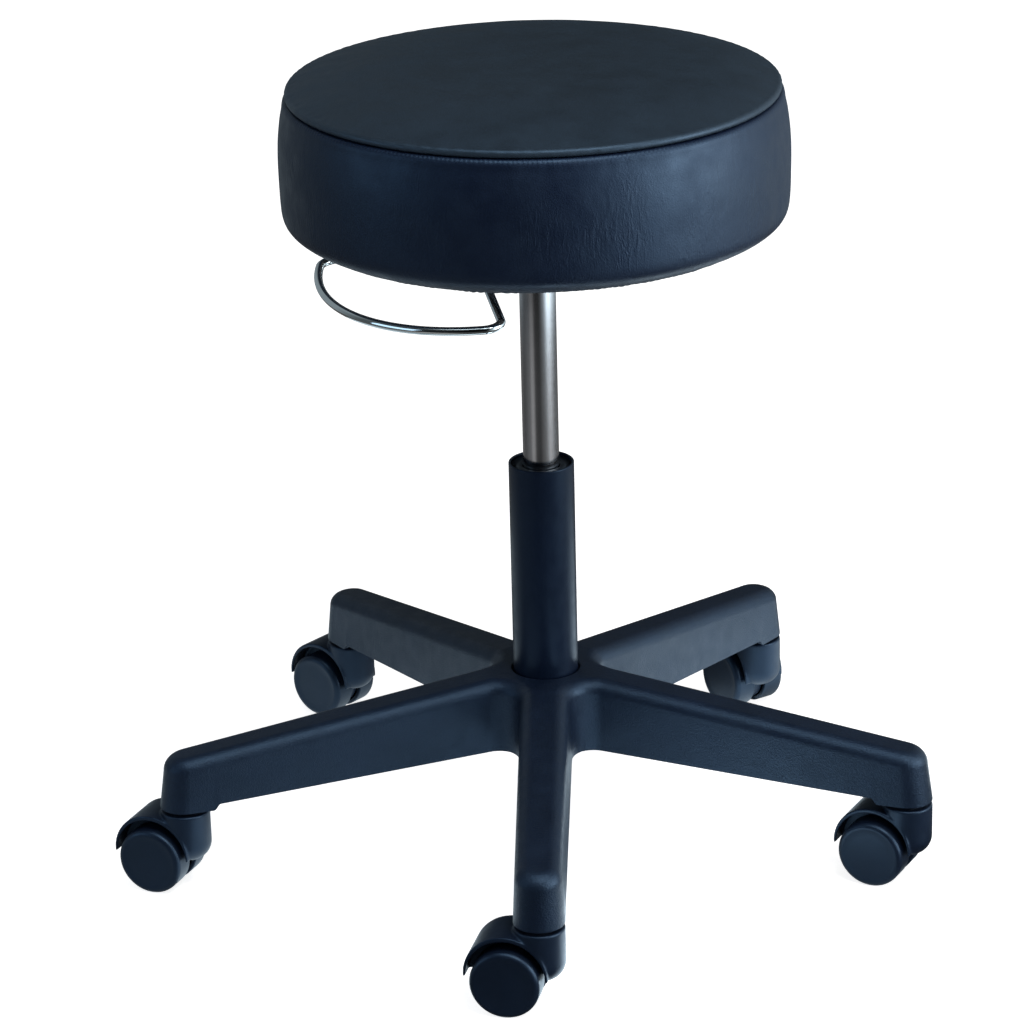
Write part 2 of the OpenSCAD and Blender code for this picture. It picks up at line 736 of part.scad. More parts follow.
// The web between the wheels, round the axle
module web_side() {
  arch_shape(canopy_r, canopy_z, lip_z);
  translate([trail, axle_z]) circle(r = web_r_out);
}

// Lifts a side view into place, with the thickness w across the wheels
module across(w) {
  rotate([90, 0, 0]) translate([0, 0, -w / 2]) linear_extrude(w) children();
}

module hood() {
  color([0.09, 0.11, 0.16]) difference() {
    union() {
      difference() {
        union() {
          rotate_extrude() polygon(concat([[0, hood_top_z], [0, housing_foot_z]],
            [for (i = [0:web_steps]) let (t = 90 - 90 * i / web_steps)
              [housing_foot_r + (housing_r - housing_foot_r) * cos(t),
               hood_top_z - housing_straight_h - (hood_top_z - housing_straight_h - housing_foot_z) * sin(t)]],
            [[housing_r, hood_top_z - lip_chamfer], [housing_r - lip_chamfer, hood_top_z]]));
          across(canopy_w) arch_shape(canopy_r, canopy_z, lip_z);
        }
        across(2 * pair_w) arch_shape(arch_r, arch_z, 0);
      }
      across(web_t) web_side();
    }
    translate([0, 0, hood_top_z - stem_foot_h - socket_gap])
      cylinder(h = stem_foot_h + socket_gap + cut, r = stem_foot_r + run_gap);
    translate([trail, 0, axle_z]) rotate([90, 0, 0])
      cylinder(h = 2 * pair_w, r = axle_r + seat_gap / 2, center = true);
  }
}

module stem() {
  color("silver") difference() {
    union() {
      translate([0, 0, hood_top_z - stem_foot_h]) cylinder(h = stem_foot_h + hood_gap, r = stem_foot_r);
      translate([0, 0, hood_top_z + run_gap]) cylinder(h = hood_gap - run_gap, r = stem_flange_r);
      translate([0, 0, boss_z]) cylinder(h = stem_h, r = stem_r);
    }
    washer(boss_z + groove_up, groove_h, stem_r + cut, groove_r);
  }
}

module grip_ring() {
  color("gray") difference() {
    washer(boss_z + groove_up + run_gap, groove_h - 2 * run_gap, stem_r + socket_gap - seat_gap,
      groove_r + seat_gap);
    translate([0, -ring_split / 2, boss_z + groove_up - cut])
      cube([2 * stem_r, ring_split, groove_h + 2 * cut]);
  }
}

module axle() {
  half = pair_w / 2 - disc_t - axle_end_gap;
  color("silver") translate([trail, 0, axle_z]) rotate([90, 0, 0])
    cylinder(h = 2 * half, r = axle_r, center = true);
}

// A wheel on the +Y side of its caster: a closed disc outside, hollow inside
module wheel(side) {
  in_y = web_t / 2 + thrust_gap;
  out_y = pair_w / 2;
  color([0.07, 0.09, 0.13]) translate([trail, 0, axle_z]) rotate([-90 * side, 0, 0]) difference() {
    rotate_extrude() polygon(concat([[0, in_y], [wheel_hub_r, in_y],
      [wheel_hub_r, out_y - disc_t], [wheel_r - tyre_t, out_y - disc_t], [wheel_r - tyre_t, in_y],
      [wheel_r, in_y]],
      [for (i = [0:web_steps]) let (t = 90 * i / web_steps)
        [wheel_r - rim_r + rim_r * cos(t), out_y - rim_r + rim_r * sin(t)]],
      [[0, out_y]]));
    translate([0, 0, in_y - cut])
      cylinder(h = out_y - disc_t - in_y + cut, r = axle_r + run_gap);
  }
}

module caster_hood(k) { caster_place(k) hood(); }
module caster_stem(k) { caster_place(k) stem(); }
module caster_grip_ring(k) { caster_place(k) grip_ring(); }
module caster_axle(k) { caster_place(k) axle(); }
module caster_wheel(k, side) { caster_place(k) wheel(side); }

base_star();
hub_ring();
column_tube();
column_end_plate();
guide_bush();
bearing_lower_race();
bearing_balls();
bearing_cage();
bearing_upper_race();
bumper();
piston_rod();
piston();
rod_clip();
pressure_tube();
rod_gland();
valve_body();
valve_pin();
seat_plate();
plate_bolts();
t_nuts();
seat_board();
seat_foam();
seat_cover_top();
seat_cover_side();
dust_cover();
staples();
release_rocker();
rocker_pin();
d_ring();
// Each caster's pieces are numbered with its leg, from 1
for (k = [0:leg_count - 1]) {
  name = str("caster_", k + 1, "_");
  caster_hood(k);
  caster_stem(k);
  caster_grip_ring(k);
  caster_axle(k);
  caster_wheel(k, 1);
  caster_wheel(k, -1);
}
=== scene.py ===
# Round stool on a gas lift: looks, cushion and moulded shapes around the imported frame.
# Lengths are in metres and the floor is z = 0. Angles are in degrees unless a name says otherwise.
import json
from math import asin, atan2, cos, degrees, hypot, pi, radians, sin, sqrt, tan

import bmesh
import bpy
import numpy as np
from mathutils import Matrix, Vector
from mathutils.bvhtree import BVHTree


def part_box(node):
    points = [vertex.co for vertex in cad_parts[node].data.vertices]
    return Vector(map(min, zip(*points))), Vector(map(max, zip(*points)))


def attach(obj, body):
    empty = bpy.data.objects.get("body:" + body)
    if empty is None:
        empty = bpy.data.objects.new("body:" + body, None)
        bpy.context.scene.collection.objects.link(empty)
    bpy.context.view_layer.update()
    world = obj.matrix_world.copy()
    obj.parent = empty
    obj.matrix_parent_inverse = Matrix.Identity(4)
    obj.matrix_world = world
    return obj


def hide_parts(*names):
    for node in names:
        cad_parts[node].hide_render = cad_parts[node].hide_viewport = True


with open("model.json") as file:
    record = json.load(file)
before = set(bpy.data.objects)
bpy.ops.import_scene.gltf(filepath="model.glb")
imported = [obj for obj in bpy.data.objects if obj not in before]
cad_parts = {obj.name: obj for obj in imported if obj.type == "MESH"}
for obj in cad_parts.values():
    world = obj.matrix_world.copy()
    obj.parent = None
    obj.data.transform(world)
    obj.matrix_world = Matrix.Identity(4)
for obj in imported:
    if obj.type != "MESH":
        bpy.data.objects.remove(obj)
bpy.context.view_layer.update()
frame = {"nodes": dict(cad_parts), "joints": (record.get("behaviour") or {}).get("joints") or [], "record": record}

TAU = 2 * pi
scene = bpy.context.scene
joints = {j["name"]: j for j in frame["joints"]}
nodes = frame["nodes"]
RING_TURN = 220
LEGS = 5


def corner(node, axis, high=True):
    """One coordinate of a CAD node's box."""
    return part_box(node)[1 if high else 0][axis]


def half_width(node):
    return (corner(node, 0) - corner(node, 0, high=False)) / 2


# Camera at the photograph's place, fitted to the seat's rims, the column and the bosses
CAMERA_YAW, CAMERA_PITCH, CAMERA_ROLL = (radians(a) for a in (-2.213, 21.261, -1.4465))
CAMERA_PLACE = Vector((0.0885, -2.8991, 1.4033))
CAMERA_LENS = 141.21
CAMERA_SENSOR = 36


def make_camera():
    level = cos(CAMERA_PITCH)
    forward = Vector((sin(CAMERA_YAW) * level, cos(CAMERA_YAW) * level, -sin(CAMERA_PITCH)))
    right = Vector((cos(CAMERA_YAW), -sin(CAMERA_YAW), 0))
    up = right.cross(forward)
    tilted_right = cos(CAMERA_ROLL) * right + sin(CAMERA_ROLL) * up
    tilted_up = -sin(CAMERA_ROLL) * right + cos(CAMERA_ROLL) * up
    turn = Matrix((tilted_right, tilted_up, -forward)).transposed().to_4x4()
    turn.translation = CAMERA_PLACE
    lens = bpy.data.cameras.new("camera")
    lens.lens, lens.sensor_width, lens.clip_end = CAMERA_LENS, CAMERA_SENSOR, 50
    scene.camera = linked("camera", lens, turn)


# Materials
class Nodes:
    """A new material, and short ways to add nodes to it."""

    def __init__(self, name, colour, roughness, **sockets):
        self.material = bpy.data.materials.new(name)
        self.material.use_nodes = True
        self.tree = self.material.node_tree
        self.shader = self.tree.nodes["Principled BSDF"]
        self.set(self.shader, Base_Color=(*colour, 1), Roughness=roughness, **sockets)
        self.colour = colour
        self.place = self.add("TexCoord").outputs["Object"]
        self.normal = None

    def add(self, kind, **settings):
        made = self.tree.nodes.new("ShaderNode" + kind)
        for key, value in settings.items():
            setattr(made, key, value)
        return made

    def set(self, made, **sockets):
        for key, value in sockets.items():
            made.inputs[key.replace("_", " ")].default_value = value
        return made

    def link(self, output, node, socket):
        self.tree.links.new(output, node.inputs[socket])

    def texture(self, kind, output, size, **sockets):
        """A texture with features of a size in millimetres, the same all ways or (x, y, z)."""
        made = self.set(self.add(kind), Scale=1, **sockets)
        sizes = size if isinstance(size, tuple) else (size,) * 3
        mapping = self.set(self.add("Mapping"), Scale=[1000 / s for s in sizes])
        self.link(self.place, mapping, "Vector")
        self.link(mapping.outputs["Vector"], made, "Vector")
        return made.outputs[output]

    def noise(self, size, detail=3, rough=0.55, distortion=0.0):
        return self.texture("TexNoise", "Fac", size, Detail=detail, Roughness=rough, Distortion=distortion)

    def cells(self, size):
        return self.texture("TexVoronoi", "Distance", size)

    def axes(self):
        made = self.add("SeparateXYZ")
        self.link(self.place, made, "Vector")
        return made.outputs

    def maths(self, operation, one, other):
        """One output with another, or with a number."""
        made = self.add("Math", operation=operation)
        self.tree.links.new(one, made.inputs[0])
        if isinstance(other, (int, float)):
            made.inputs[1].default_value = other
        else:
            self.tree.links.new(other, made.inputs[1])
        return made.outputs[0]

    def ramp(self, output, low, high, start, end):
        """output stretched from start..end to low..high."""
        made = self.set(self.add("MapRange"), From_Min=start, From_Max=end, To_Min=low, To_Max=high)
        self.link(output, made, "Value")
        return made.outputs["Result"]

    def tint(self, output, colours, stops, socket="Base Color"):
        """Colours along output go to the base colour, or to another colour socket."""
        made = self.add("ValToRGB")
        band = made.color_ramp
        for i, (stop, colour) in enumerate(zip(stops, colours)):
            element = band.elements[i] if i < 2 else band.elements.new(stop)
            element.position, element.color = stop, (*colour, 1)
        self.link(output, made, "Fac")
        self.link(made.outputs["Color"], self.shader, socket)

    def mottle(self, size, detail, low, high):
        """The colour between low and high times its own level, in soft spots."""
        self.tint(self.noise(size, detail), (shade(self.colour, low), shade(self.colour, high)), (0.3, 0.7))

    def bump(self, output, depth):
        """Raises the surface by output times depth, in metres."""
        made = self.set(self.add("Bump"), Strength=1, Distance=depth)
        self.link(output, made, "Height")
        if self.normal:
            self.link(self.normal, made, "Normal")
        self.normal = made.outputs["Normal"]
        self.link(self.normal, self.shader, "Normal")

    def gloss(self, output, low, high):
        self.link(self.ramp(output, low, high, 0.3, 0.7), self.shader, "Roughness")


def shade(colour, factor):
    return tuple(c * factor for c in colour)


# Tint of the reflections on the navy pieces, and the heights between which the side band's creases fade out
COOL = (0.46, 0.70, 1.0, 1)
CREASE_FADE_Z = (0.603, 0.575)


def vinyl(name, colour, wrinkled):
    """Upholstery vinyl: leather pebble, mottling and, for the side band, upright stretch wrinkles."""
    m = Nodes(name, colour, 0.46, Specular_IOR_Level=0.55, Specular_Tint=COOL)
    m.mottle(60, 4, 0.94, 1.06)
    m.gloss(m.noise(22, detail=5), 0.40, 0.54)
    m.bump(m.cells(1.25), 0.00006)
    m.bump(m.noise(0.7, detail=2), 0.00003)
    if wrinkled:
        waves = m.noise((4.0, 4.0, 15), detail=2, rough=0.5, distortion=0.9)
        folds = m.maths("ABSOLUTE", m.maths("SUBTRACT", waves, 0.5), 0)
        spread = m.ramp(m.noise(42, detail=2), 0.12, 1, 0.42, 0.60)
        fade = m.ramp(m.axes()["Z"], 0.15, 1, *CREASE_FADE_Z)
        m.bump(m.maths("MULTIPLY", folds, m.maths("MULTIPLY", spread, fade)), 0.0007)
    m.bump(m.noise(26, detail=2), 0.00025)
    return m.material


def moulded(name, colour, grain, roughness, grain_mm=0.9):
    """Glass-filled nylon with a spark-eroded grain."""
    m = Nodes(name, colour, roughness, Specular_IOR_Level=0.52, Specular_Tint=COOL)
    m.mottle(35, 4, 0.85, 1.15)
    m.gloss(m.noise(14, detail=5), roughness - 0.06, roughness + 0.07)
    m.bump(m.noise(grain_mm, detail=3, rough=0.7), grain)
    m.bump(m.cells(1.8 * grain_mm), 0.5 * grain)
    return m.material


def paint(name, colour, roughness):
    """Powder coat: orange peel and a faint unevenness of gloss."""
    m = Nodes(name, colour, roughness, Specular_IOR_Level=0.31, Specular_Tint=COOL)
    m.mottle(50, 3, 0.9, 1.1)
    m.gloss(m.noise(9, detail=4), roughness - 0.05, roughness + 0.05)
    m.bump(m.noise(1.6, detail=2), 0.00005)
    return m.material


def metal(name, colour, low, high, streaks, streak_depth=0.000004):
    """Bare or plated metal: roughness varies between low and high along the streaks."""
    m = Nodes(name, colour, low, Metallic=1)
    marks = m.noise(streaks, detail=5, rough=0.65)
    m.gloss(marks, low, high)
    m.mottle(18, 3, 0.94, 1.04)
    m.bump(marks, streak_depth)
    return m.material


def plain(name, colour, roughness, size_mm, depth, sockets={}):
    """Rubber, cloth, foam and board: mottled colour with a fine grain."""
    m = Nodes(name, colour, roughness, **sockets)
    m.mottle(size_mm, 5, 0.75, 1.2)
    m.bump(m.noise(shade(size_mm, 0.4), detail=3), depth)
    return m.material


NAVY_BASE = (0.0036, 0.0072, 0.0190)
NAVY_SIDE = (0.0018, 0.0040, 0.0155)
# Top panel: the cushion's own vinyl colour, painted lighter and greyer than the side band's to stand for the light
# from above on the top
TOP_VINYL_PAINTED_LIGHTER = (0.0142, 0.0215, 0.0310)
RECIPES = {
    "base_plastic": (moulded, NAVY_BASE, 0.00024, 0.40, 0.8),
    "caster_plastic": (moulded, (0.0030, 0.0064, 0.018), 0.00002, 0.42),
    "wheel_plastic": (moulded, (0.0032, 0.0064, 0.017), 0.000015, 0.40),
    "column_paint": (paint, (0.0026, 0.0056, 0.016), 0.36),
    "plate_paint": (paint, (0.012, 0.013, 0.016), 0.42),
    "polished_steel": (metal, (0.62, 0.62, 0.64), 0.14, 0.22, (6, 6, 0.5)),
    "ring_chrome": (metal, (0.80, 0.83, 0.83), 0.05, 0.10, 8),
    "zinc_steel": (metal, (0.52, 0.54, 0.56), 0.28, 0.42, (0.6, 5, 5), 0.00002),
    "brass_part": (metal, (0.62, 0.44, 0.18), 0.22, 0.34, (5, 5, 0.6), 0.00001),
    "dark_plastic": (moulded, (0.012, 0.012, 0.014), 0.00002, 0.40),
    "rubber_part": (plain, (0.015, 0.015, 0.015), 0.75, (3, 3, 3), 0.00005),
    "plywood": (plain, (0.46, 0.31, 0.17), 0.6, (40, 3, 1.4), 0.00008),
    "foam": (plain, (0.70, 0.62, 0.40), 0.95, (2, 2, 2), 0.0004, {"Subsurface_Weight": 0.1}),
    "vinyl_top": (vinyl, TOP_VINYL_PAINTED_LIGHTER, False),
    "vinyl_side": (vinyl, NAVY_SIDE, True),
    "dust_cloth": (plain, (0.014, 0.014, 0.016), 0.95, (0.8, 0.8, 4), 0.0001, {"Sheen_Weight": 0.15}),
}
MATERIALS = {name: make(name, *rest) for name, (make, *rest) in RECIPES.items()}
SLOT_OF = {row["node"]: row["material_slot"] for row in frame["record"]["subparts"]}


# Mesh helpers
def linked(name, data, matrix=Matrix.Identity(4)):
    made = bpy.data.objects.new(name, data)
    scene.collection.objects.link(made)
    made.matrix_world = matrix
    return made


def shift(vector):
    return Matrix.Translation(vector)


def turn_about(axis, angle):
    return Matrix.Rotation(angle, 4, axis)


def mesh_object(name, points, faces):
    mesh = bpy.data.meshes.new(name)
    mesh.from_pydata([tuple(p) for p in points], [], [tuple(int(i) for i in f) for f in faces])
    mesh.validate()
    return linked(name, mesh)


def drop(*objects):
    for gone in objects:
        mesh = gone.data
        bpy.data.objects.remove(gone)
        bpy.data.meshes.remove(mesh)


def bake(made):
    """Applies the object's modifiers to its mesh."""
    bpy.context.view_layer.update()
    shaped = made.evaluated_get(bpy.context.evaluated_depsgraph_get())
    mesh = bpy.data.meshes.new_from_object(shaped)
    made.modifiers.clear()
    old, made.data = made.data, mesh
    bpy.data.meshes.remove(old)
    return made


def cut_with(made, cutter, operation="DIFFERENCE"):
    """Boolean of two closed meshes; the cutter is used up."""
    step = made.modifiers.new("cut", "BOOLEAN")
    step.object, step.operation, step.solver = cutter, operation, "EXACT"
    bake(made)
    drop(cutter)
    return made


def mend(made):
    """Closes the pinholes that a Boolean leaves where its faces meet."""
    skin = bmesh.new()
    skin.from_mesh(made.data)
    bmesh.ops.remove_doubles(skin, verts=skin.verts, dist=0.000002)
    bmesh.ops.dissolve_degenerate(skin, edges=skin.edges, dist=0.000002)
    bmesh.ops.holes_fill(skin, edges=[e for e in skin.edges if e.is_boundary], sides=0)
    skin.to_mesh(made.data)
    skin.free()


def smooth(made, angle=35):
    """Smooth shading, with edges sharper than the angle kept."""
    for face in made.data.polygons:
        face.use_smooth = True
    made.data.set_sharp_from_angle(angle=radians(angle))
    return made


def weigh(made):
    """Normals by face area, so that long faces stay flat beside rounded edges."""
    step = made.modifiers.new("weigh", "WEIGHTED_NORMAL")
    step.weight, step.keep_sharp = 100, True
    return made


def dress(made, body, slot, *replaced):
    """Material, body and the CAD nodes that a piece stands for."""
    made.data.materials.clear()
    made.data.materials.append(MATERIALS[slot])
    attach(made, body)
    if replaced:
        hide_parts(*replaced)


def loop_faces(rings, sides):
    """Quads between rings of points, each ring closed on itself."""
    faces = []
    for a in range(0, (rings - 1) * sides, sides):
        b = a + sides
        faces += [(a + i, a + (i + 1) % sides, b + (i + 1) % sides, b + i) for i in range(sides)]
    return faces


def lathe(name, profile, sides=96):
    """Closed lathe about Z. The profile runs counter-clockwise; radius 0 makes a pole."""
    points, rows = [], []
    for r, z in profile:
        if r < 1e-7:
            rows.append([len(points)])
            points.append((0, 0, z))
        else:
            rows.append(list(range(len(points), len(points) + sides)))
            points += [(r * cos(TAU * i / sides), r * sin(TAU * i / sides), z) for i in range(sides)]
    faces = []
    for a, b in zip(rows, rows[1:] + rows[:1]):
        if len(a) + len(b) > 2:
            for i in range(sides):
                j = (i + 1) % sides
                face = (a[i % len(a)], a[j % len(a)], b[j % len(b)], b[i % len(b)])
                faces.append(tuple(dict.fromkeys(face)))
    return mesh_object(name, points, faces)


def arc(centre, radius, start, end, steps):
    """Points of an arc in a profile, from one angle to another."""
    turns = [radians(start + (end - start) * i / steps) for i in range(steps + 1)]
    return [(centre[0] + radius * cos(t), centre[1] + radius * sin(t)) for t in turns]


def prism(name, outline, low, high):
    """Solid between z = low and z = high(x, y) over a counter-clockwise outline."""
    count = len(outline)
    points = [(x, y, low) for x, y in outline] + [(x, y, high(x, y)) for x, y in outline]
    faces = [tuple(reversed(range(count))), tuple(range(count, 2 * count))] + loop_faces(2, count)
    return mesh_object(name, points, faces)


def join(objects, name):
    """One mesh from several, each in its own place."""
    merged = bmesh.new()
    for made in objects:
        made.data.transform(made.matrix_world)
        merged.from_mesh(made.data)
    mesh = bpy.data.meshes.new(name)
    merged.to_mesh(mesh)
    merged.free()
    drop(*objects)
    return linked(name, mesh)


def turned(p, turn):
    a = radians(turn)
    return p[0] * cos(a) - p[1] * sin(a), p[0] * sin(a) + p[1] * cos(a)


def tube(name, path, radius, sides=28):
    """A closed tube along points, with flat ends and no twist."""
    path = [Vector(p) for p in path]
    side = None
    points = []
    for i, p in enumerate(path):
        along = (path[min(i + 1, len(path) - 1)] - path[max(i - 1, 0)]).normalized()
        side = along.orthogonal() if side is None else side - along * side.dot(along)
        side.normalize()
        up = along.cross(side)
        for k in range(sides):
            a = TAU * k / sides
            points.append(p + radius * (cos(a) * side + sin(a) * up))
    faces = loop_faces(len(path), sides)
    last = (len(path) - 1) * sides
    faces += [tuple(reversed(range(sides))), tuple(range(last, last + sides))]
    return mesh_object(name, points, faces)


# Base: the same star as the frame's, with finer rounding
CIRCLE_R = hypot(*joints["caster_1_swivel"]["pos_m"][:2])
TIP_R, ROOT_R, WEB_R = 0.0192, 0.0205, 0.018
HUB_R = 0.048
BOSS_Z = corner("base_star", 2, high=False)
HUB_TOP_Z = corner("base_star", 2)
HUB_RISE = 0.032
TIP_TOP_Z = HUB_TOP_Z - HUB_RISE
EDGE_ROOT_H, EDGE_TIP_H, BOSS_STEP = 0.017, 0.0036, 0.005
SIDE_DRAFT, TIP_LEAN, EDGE_R = 0.0016, 0.0026, 0.011
HALF_PITCH = 180 / LEGS
LEG_TURNS = [-90 + 2 * HALF_PITCH * k for k in range(LEGS)]
WEB_CENTRE_R = (ROOT_R + WEB_R) / sin(radians(HALF_PITCH))
SIDE_START = WEB_CENTRE_R * cos(radians(HALF_PITCH))
SIDE_END = CIRCLE_R - TIP_R - BOSS_STEP
WEB_CENTRE_Y = WEB_CENTRE_R * sin(radians(HALF_PITCH))
WEB_STEPS, SIDE_STEPS, TIP_STEPS, EDGE_STEPS, WALL_STEPS, CROSS_STEPS = 14, 26, 14, 12, 5, 6


def leg_half_w(u):
    return ROOT_R + (TIP_R - ROOT_R) * (u - HUB_R) / (CIRCLE_R - HUB_R)


def crest(r):
    """Height of a leg's crest at the distance r from the axis."""
    return TIP_TOP_Z + HUB_RISE * (CIRCLE_R - max(r, HUB_R)) / (CIRCLE_R - HUB_R)


def under(u):
    """Height of a leg's lower edge, with a soft step down to the boss."""
    slope = EDGE_TIP_H + (EDGE_ROOT_H - EDGE_TIP_H) * (CIRCLE_R - u) / (CIRCLE_R - HUB_R)
    t = min(max((u - SIDE_END) / BOSS_STEP, 0), 1)
    return BOSS_Z + slope * (1 - t * t * (3 - 2 * t))


def leg_half(inset, lean):
    """Right half of a leg's outline from the web to the tip, in the leg's own frame."""
    start = 180 - HALF_PITCH
    web = arc((SIDE_START, -WEB_CENTRE_Y), WEB_R + inset, start, 90, WEB_STEPS)
    places = [*np.linspace(SIDE_START, SIDE_END, SIDE_STEPS + 1)[1:],
              *np.linspace(SIDE_END, CIRCLE_R - TIP_R, 5)[1:], CIRCLE_R - TIP_R * 0.5]
    side = [(u, inset - leg_half_w(u)) for u in places]
    return web + side + arc((CIRCLE_R - lean, 0), TIP_R - inset, -90, 0, TIP_STEPS)


def leg_outline(inset, lean):
    half = leg_half(inset, lean)
    return half + [(x, -y) for x, y in reversed(half[1:-1])]


def star_rings():
    """Rings of the star's skin, up the walls and over the rounding to the crest."""
    rings = []
    foot = leg_outline(0, 0)
    shoulder = leg_outline(SIDE_DRAFT, TIP_LEAN)
    for k in range(WALL_STEPS):
        t = k / WALL_STEPS
        ring = []
        for turn in LEG_TURNS:
            for (x0, y0), (x1, y1) in zip(foot, shoulder):
                x, y = turned((x0 + (x1 - x0) * t, y0 + (y1 - y0) * t), turn)
                top = crest(hypot(x1, y1)) - EDGE_R
                ring.append((x, y, under(x0) + (top - under(x0)) * t))
        rings.append(ring)
    for k in range(EDGE_STEPS + 1):
        f = radians(90 * k / EDGE_STEPS)
        outline = leg_outline(SIDE_DRAFT + EDGE_R * (1 - cos(f)), TIP_LEAN)
        rings.append([(*turned(p, turn), crest(hypot(*p)) - EDGE_R * (1 - sin(f)))
                      for turn in LEG_TURNS for p in outline])
    return rings


def star_solid():
    rings = star_rings()
    total = len(rings[0])
    per_leg = total // LEGS
    half = per_leg // 2
    points = [p for ring in rings for p in ring]
    faces = loop_faces(len(rings), total)

    def cap(base, heights, way):
        """Strips across each leg and one face over the hub, turned over where way is -1."""
        hub = []
        for leg in range(LEGS):
            start = base + leg * per_leg
            lanes = []
            for j in range(half + 1):
                right = start + j
                left = base + (leg * per_leg + per_leg - j) % total
                a, b = Vector(points[right]), Vector(points[left])
                lane = [right]
                if j < half:
                    for i in range(1, CROSS_STEPS):
                        p = a.lerp(b, i / CROSS_STEPS)
                        p.z = heights(p, a.z)
                        lane.append(len(points))
                        points.append(tuple(p))
                    lane.append(left)
                lanes.append(lane)
            hub += lanes[0][:-1]
            for one, two in zip(lanes, lanes[1:]):
                for i in range(CROSS_STEPS):
                    face = (one[i], two[i % len(two)], two[(i + 1) % len(two)], one[i + 1])
                    faces.append(tuple(dict.fromkeys(face))[::way])
        faces.append(tuple(hub[::way]))

    cap((len(rings) - 1) * total, lambda p, z: crest(hypot(p.x, p.y)), 1)
    cap(0, lambda p, z: z, -1)
    return mesh_object("base_shell", points, faces)


INNER_EDGE = SIDE_DRAFT + 0.0032
LEG_ROOF = 0.0042 + EDGE_R / 2
RIB_T, RIB_COUNT = 0.0026, 4
COLUMN_R = half_width("column_tube")
BARREL_R = COLUMN_R + 0.006
BARREL_Z = BOSS_Z + 0.010
RING_SEAT_H, RING_WALL, COLLAR_GAP, COLLAR_DEPTH = 0.007, 0.0035, 0.0014, 0.005
COLUMN_LOW_Z = corner("column_tube", 2, high=False)
SOCKET_R, SOCKET_H = 0.0056, 0.0245
MOUTH_CHAMFER, SOCKET_LEAD = 0.0008, 0.001
CUT_OUT = 0.01
FIT = 0.00005


def column_at(z):
    if z >= HUB_TOP_Z:
        return COLUMN_R
    return COLUMN_R - 0.0012 * (HUB_TOP_Z - z) / (HUB_TOP_Z - COLUMN_LOW_Z)


def leg_cells():
    """Outlines of the hollow cells under half a leg, from the barrel to the boss."""
    inner = WEB_R + INNER_EDGE
    ribs = [SIDE_START + (SIDE_END - SIDE_START) * i / (RIB_COUNT + 1) for i in range(1, RIB_COUNT + 1)]
    low = RIB_T / 2
    split = HALF_PITCH - 2.4
    first_angle = degrees(asin(low / BARREL_R))
    web = [(x, -y) for x, y in arc((SIDE_START, -WEB_CENTRE_Y), inner, 180 - HALF_PITCH - 3, 90, 8)]
    cells = [[(ribs[0], low), (ribs[0], leg_half_w(ribs[0]) - INNER_EDGE)] + web[::-1]
             + arc((0, 0), BARREL_R, split, first_angle, 8)]
    for a, b in zip(ribs, ribs[1:]):
        cells.append([(b, low), (b, leg_half_w(b) - INNER_EDGE), (a + RIB_T, leg_half_w(a) - INNER_EDGE),
                      (a + RIB_T, low)])
    start = ribs[-1] + RIB_T
    high = leg_half_w(SIDE_END) - INNER_EDGE
    boss = [(CIRCLE_R - sqrt(TIP_R ** 2 - y ** 2), y) for y in np.linspace(low, high, 8)]
    cells.append(boss + [(start, high), (start, low)])
    return cells


def make_base():
    shell = star_solid()
    cells = []
    for turn in LEG_TURNS:
        for cell in leg_cells():
            for side in (1, -1):
                outline = [turned((x, side * y), turn) for x, y in cell]
                cells.append(prism("cell", outline[::side], BOSS_Z - CUT_OUT,
                                   lambda x, y: crest(hypot(x, y)) - LEG_ROOF))
        low = -2 * SOCKET_LEAD
        socket = lathe("socket", [(0, low), (SOCKET_R + SOCKET_LEAD, low), (SOCKET_R, SOCKET_LEAD),
                                  (SOCKET_R, SOCKET_H), (0, SOCKET_H)], 48)
        socket.matrix_world = shift((*turned((CIRCLE_R, 0), turn), BOSS_Z))
        cells.append(socket)
    bpy.context.view_layer.update()
    clear, barrel = COLUMN_R + COLLAR_GAP, BARREL_R + 0.001
    ring_seat = column_at(BARREL_Z) + RING_WALL + FIT
    seat_top, collar_z = BARREL_Z + RING_SEAT_H, HUB_TOP_Z - COLLAR_DEPTH
    bore = [(0, BOSS_Z - 2 * CUT_OUT), (barrel, BOSS_Z - 2 * CUT_OUT), (barrel, BARREL_Z), (ring_seat, BARREL_Z),
            (ring_seat, seat_top), (column_at(seat_top) + FIT, seat_top), (column_at(collar_z) + FIT, collar_z),
            (clear, collar_z), (clear, HUB_TOP_Z - MOUTH_CHAMFER), (clear + MOUTH_CHAMFER, HUB_TOP_Z),
            (clear + MOUTH_CHAMFER, HUB_TOP_Z + CUT_OUT), (0, HUB_TOP_Z + CUT_OUT)]
    cut_with(shell, join(cells, "hollows"))
    cut_with(shell, lathe("bore", bore, 128))
    mend(shell)
    weigh(smooth(shell, 32))
    dress(shell, "base", "base_plastic", "base_star")


# Casters: the hood and the wheels are made once, in a caster's own frame: Z is the stem, the wheels trail along +X
STEM_PLACES = [Vector(joints[f"caster_{n + 1}_swivel"]["pos_m"]) for n in range(LEGS)]
AXLE_PLACES = [Vector(joints[f"wheel_{n + 1}_left_spin"]["pos_m"]) for n in range(LEGS)]
TRAIL = hypot(*(AXLE_PLACES[0] - STEM_PLACES[0])[:2])
HOOD_TOP_Z = corner("caster_1_hood", 2)
WHEEL_R = corner("caster_1_wheel_left", 2) / 2
AXLE_Z = WHEEL_R
HOUSING_R, HOUSING_STRAIGHT_H, HOUSING_FOOT_R, HOUSING_FOOT_Z = TIP_R, 0.027, 0.006, AXLE_Z - 0.001
ARCH_R, ARCH_Z = WHEEL_R + 0.0034, AXLE_Z + 0.0035
CANOPY_R = ARCH_R + 0.0018
CANOPY_Z = HOOD_TOP_Z - 0.0032 - CANOPY_R
LIP_Z = AXLE_Z + 0.003
WEB_T, WEB_R_OUT = 0.0104, WHEEL_R - 0.004
PAIR_W = 0.048
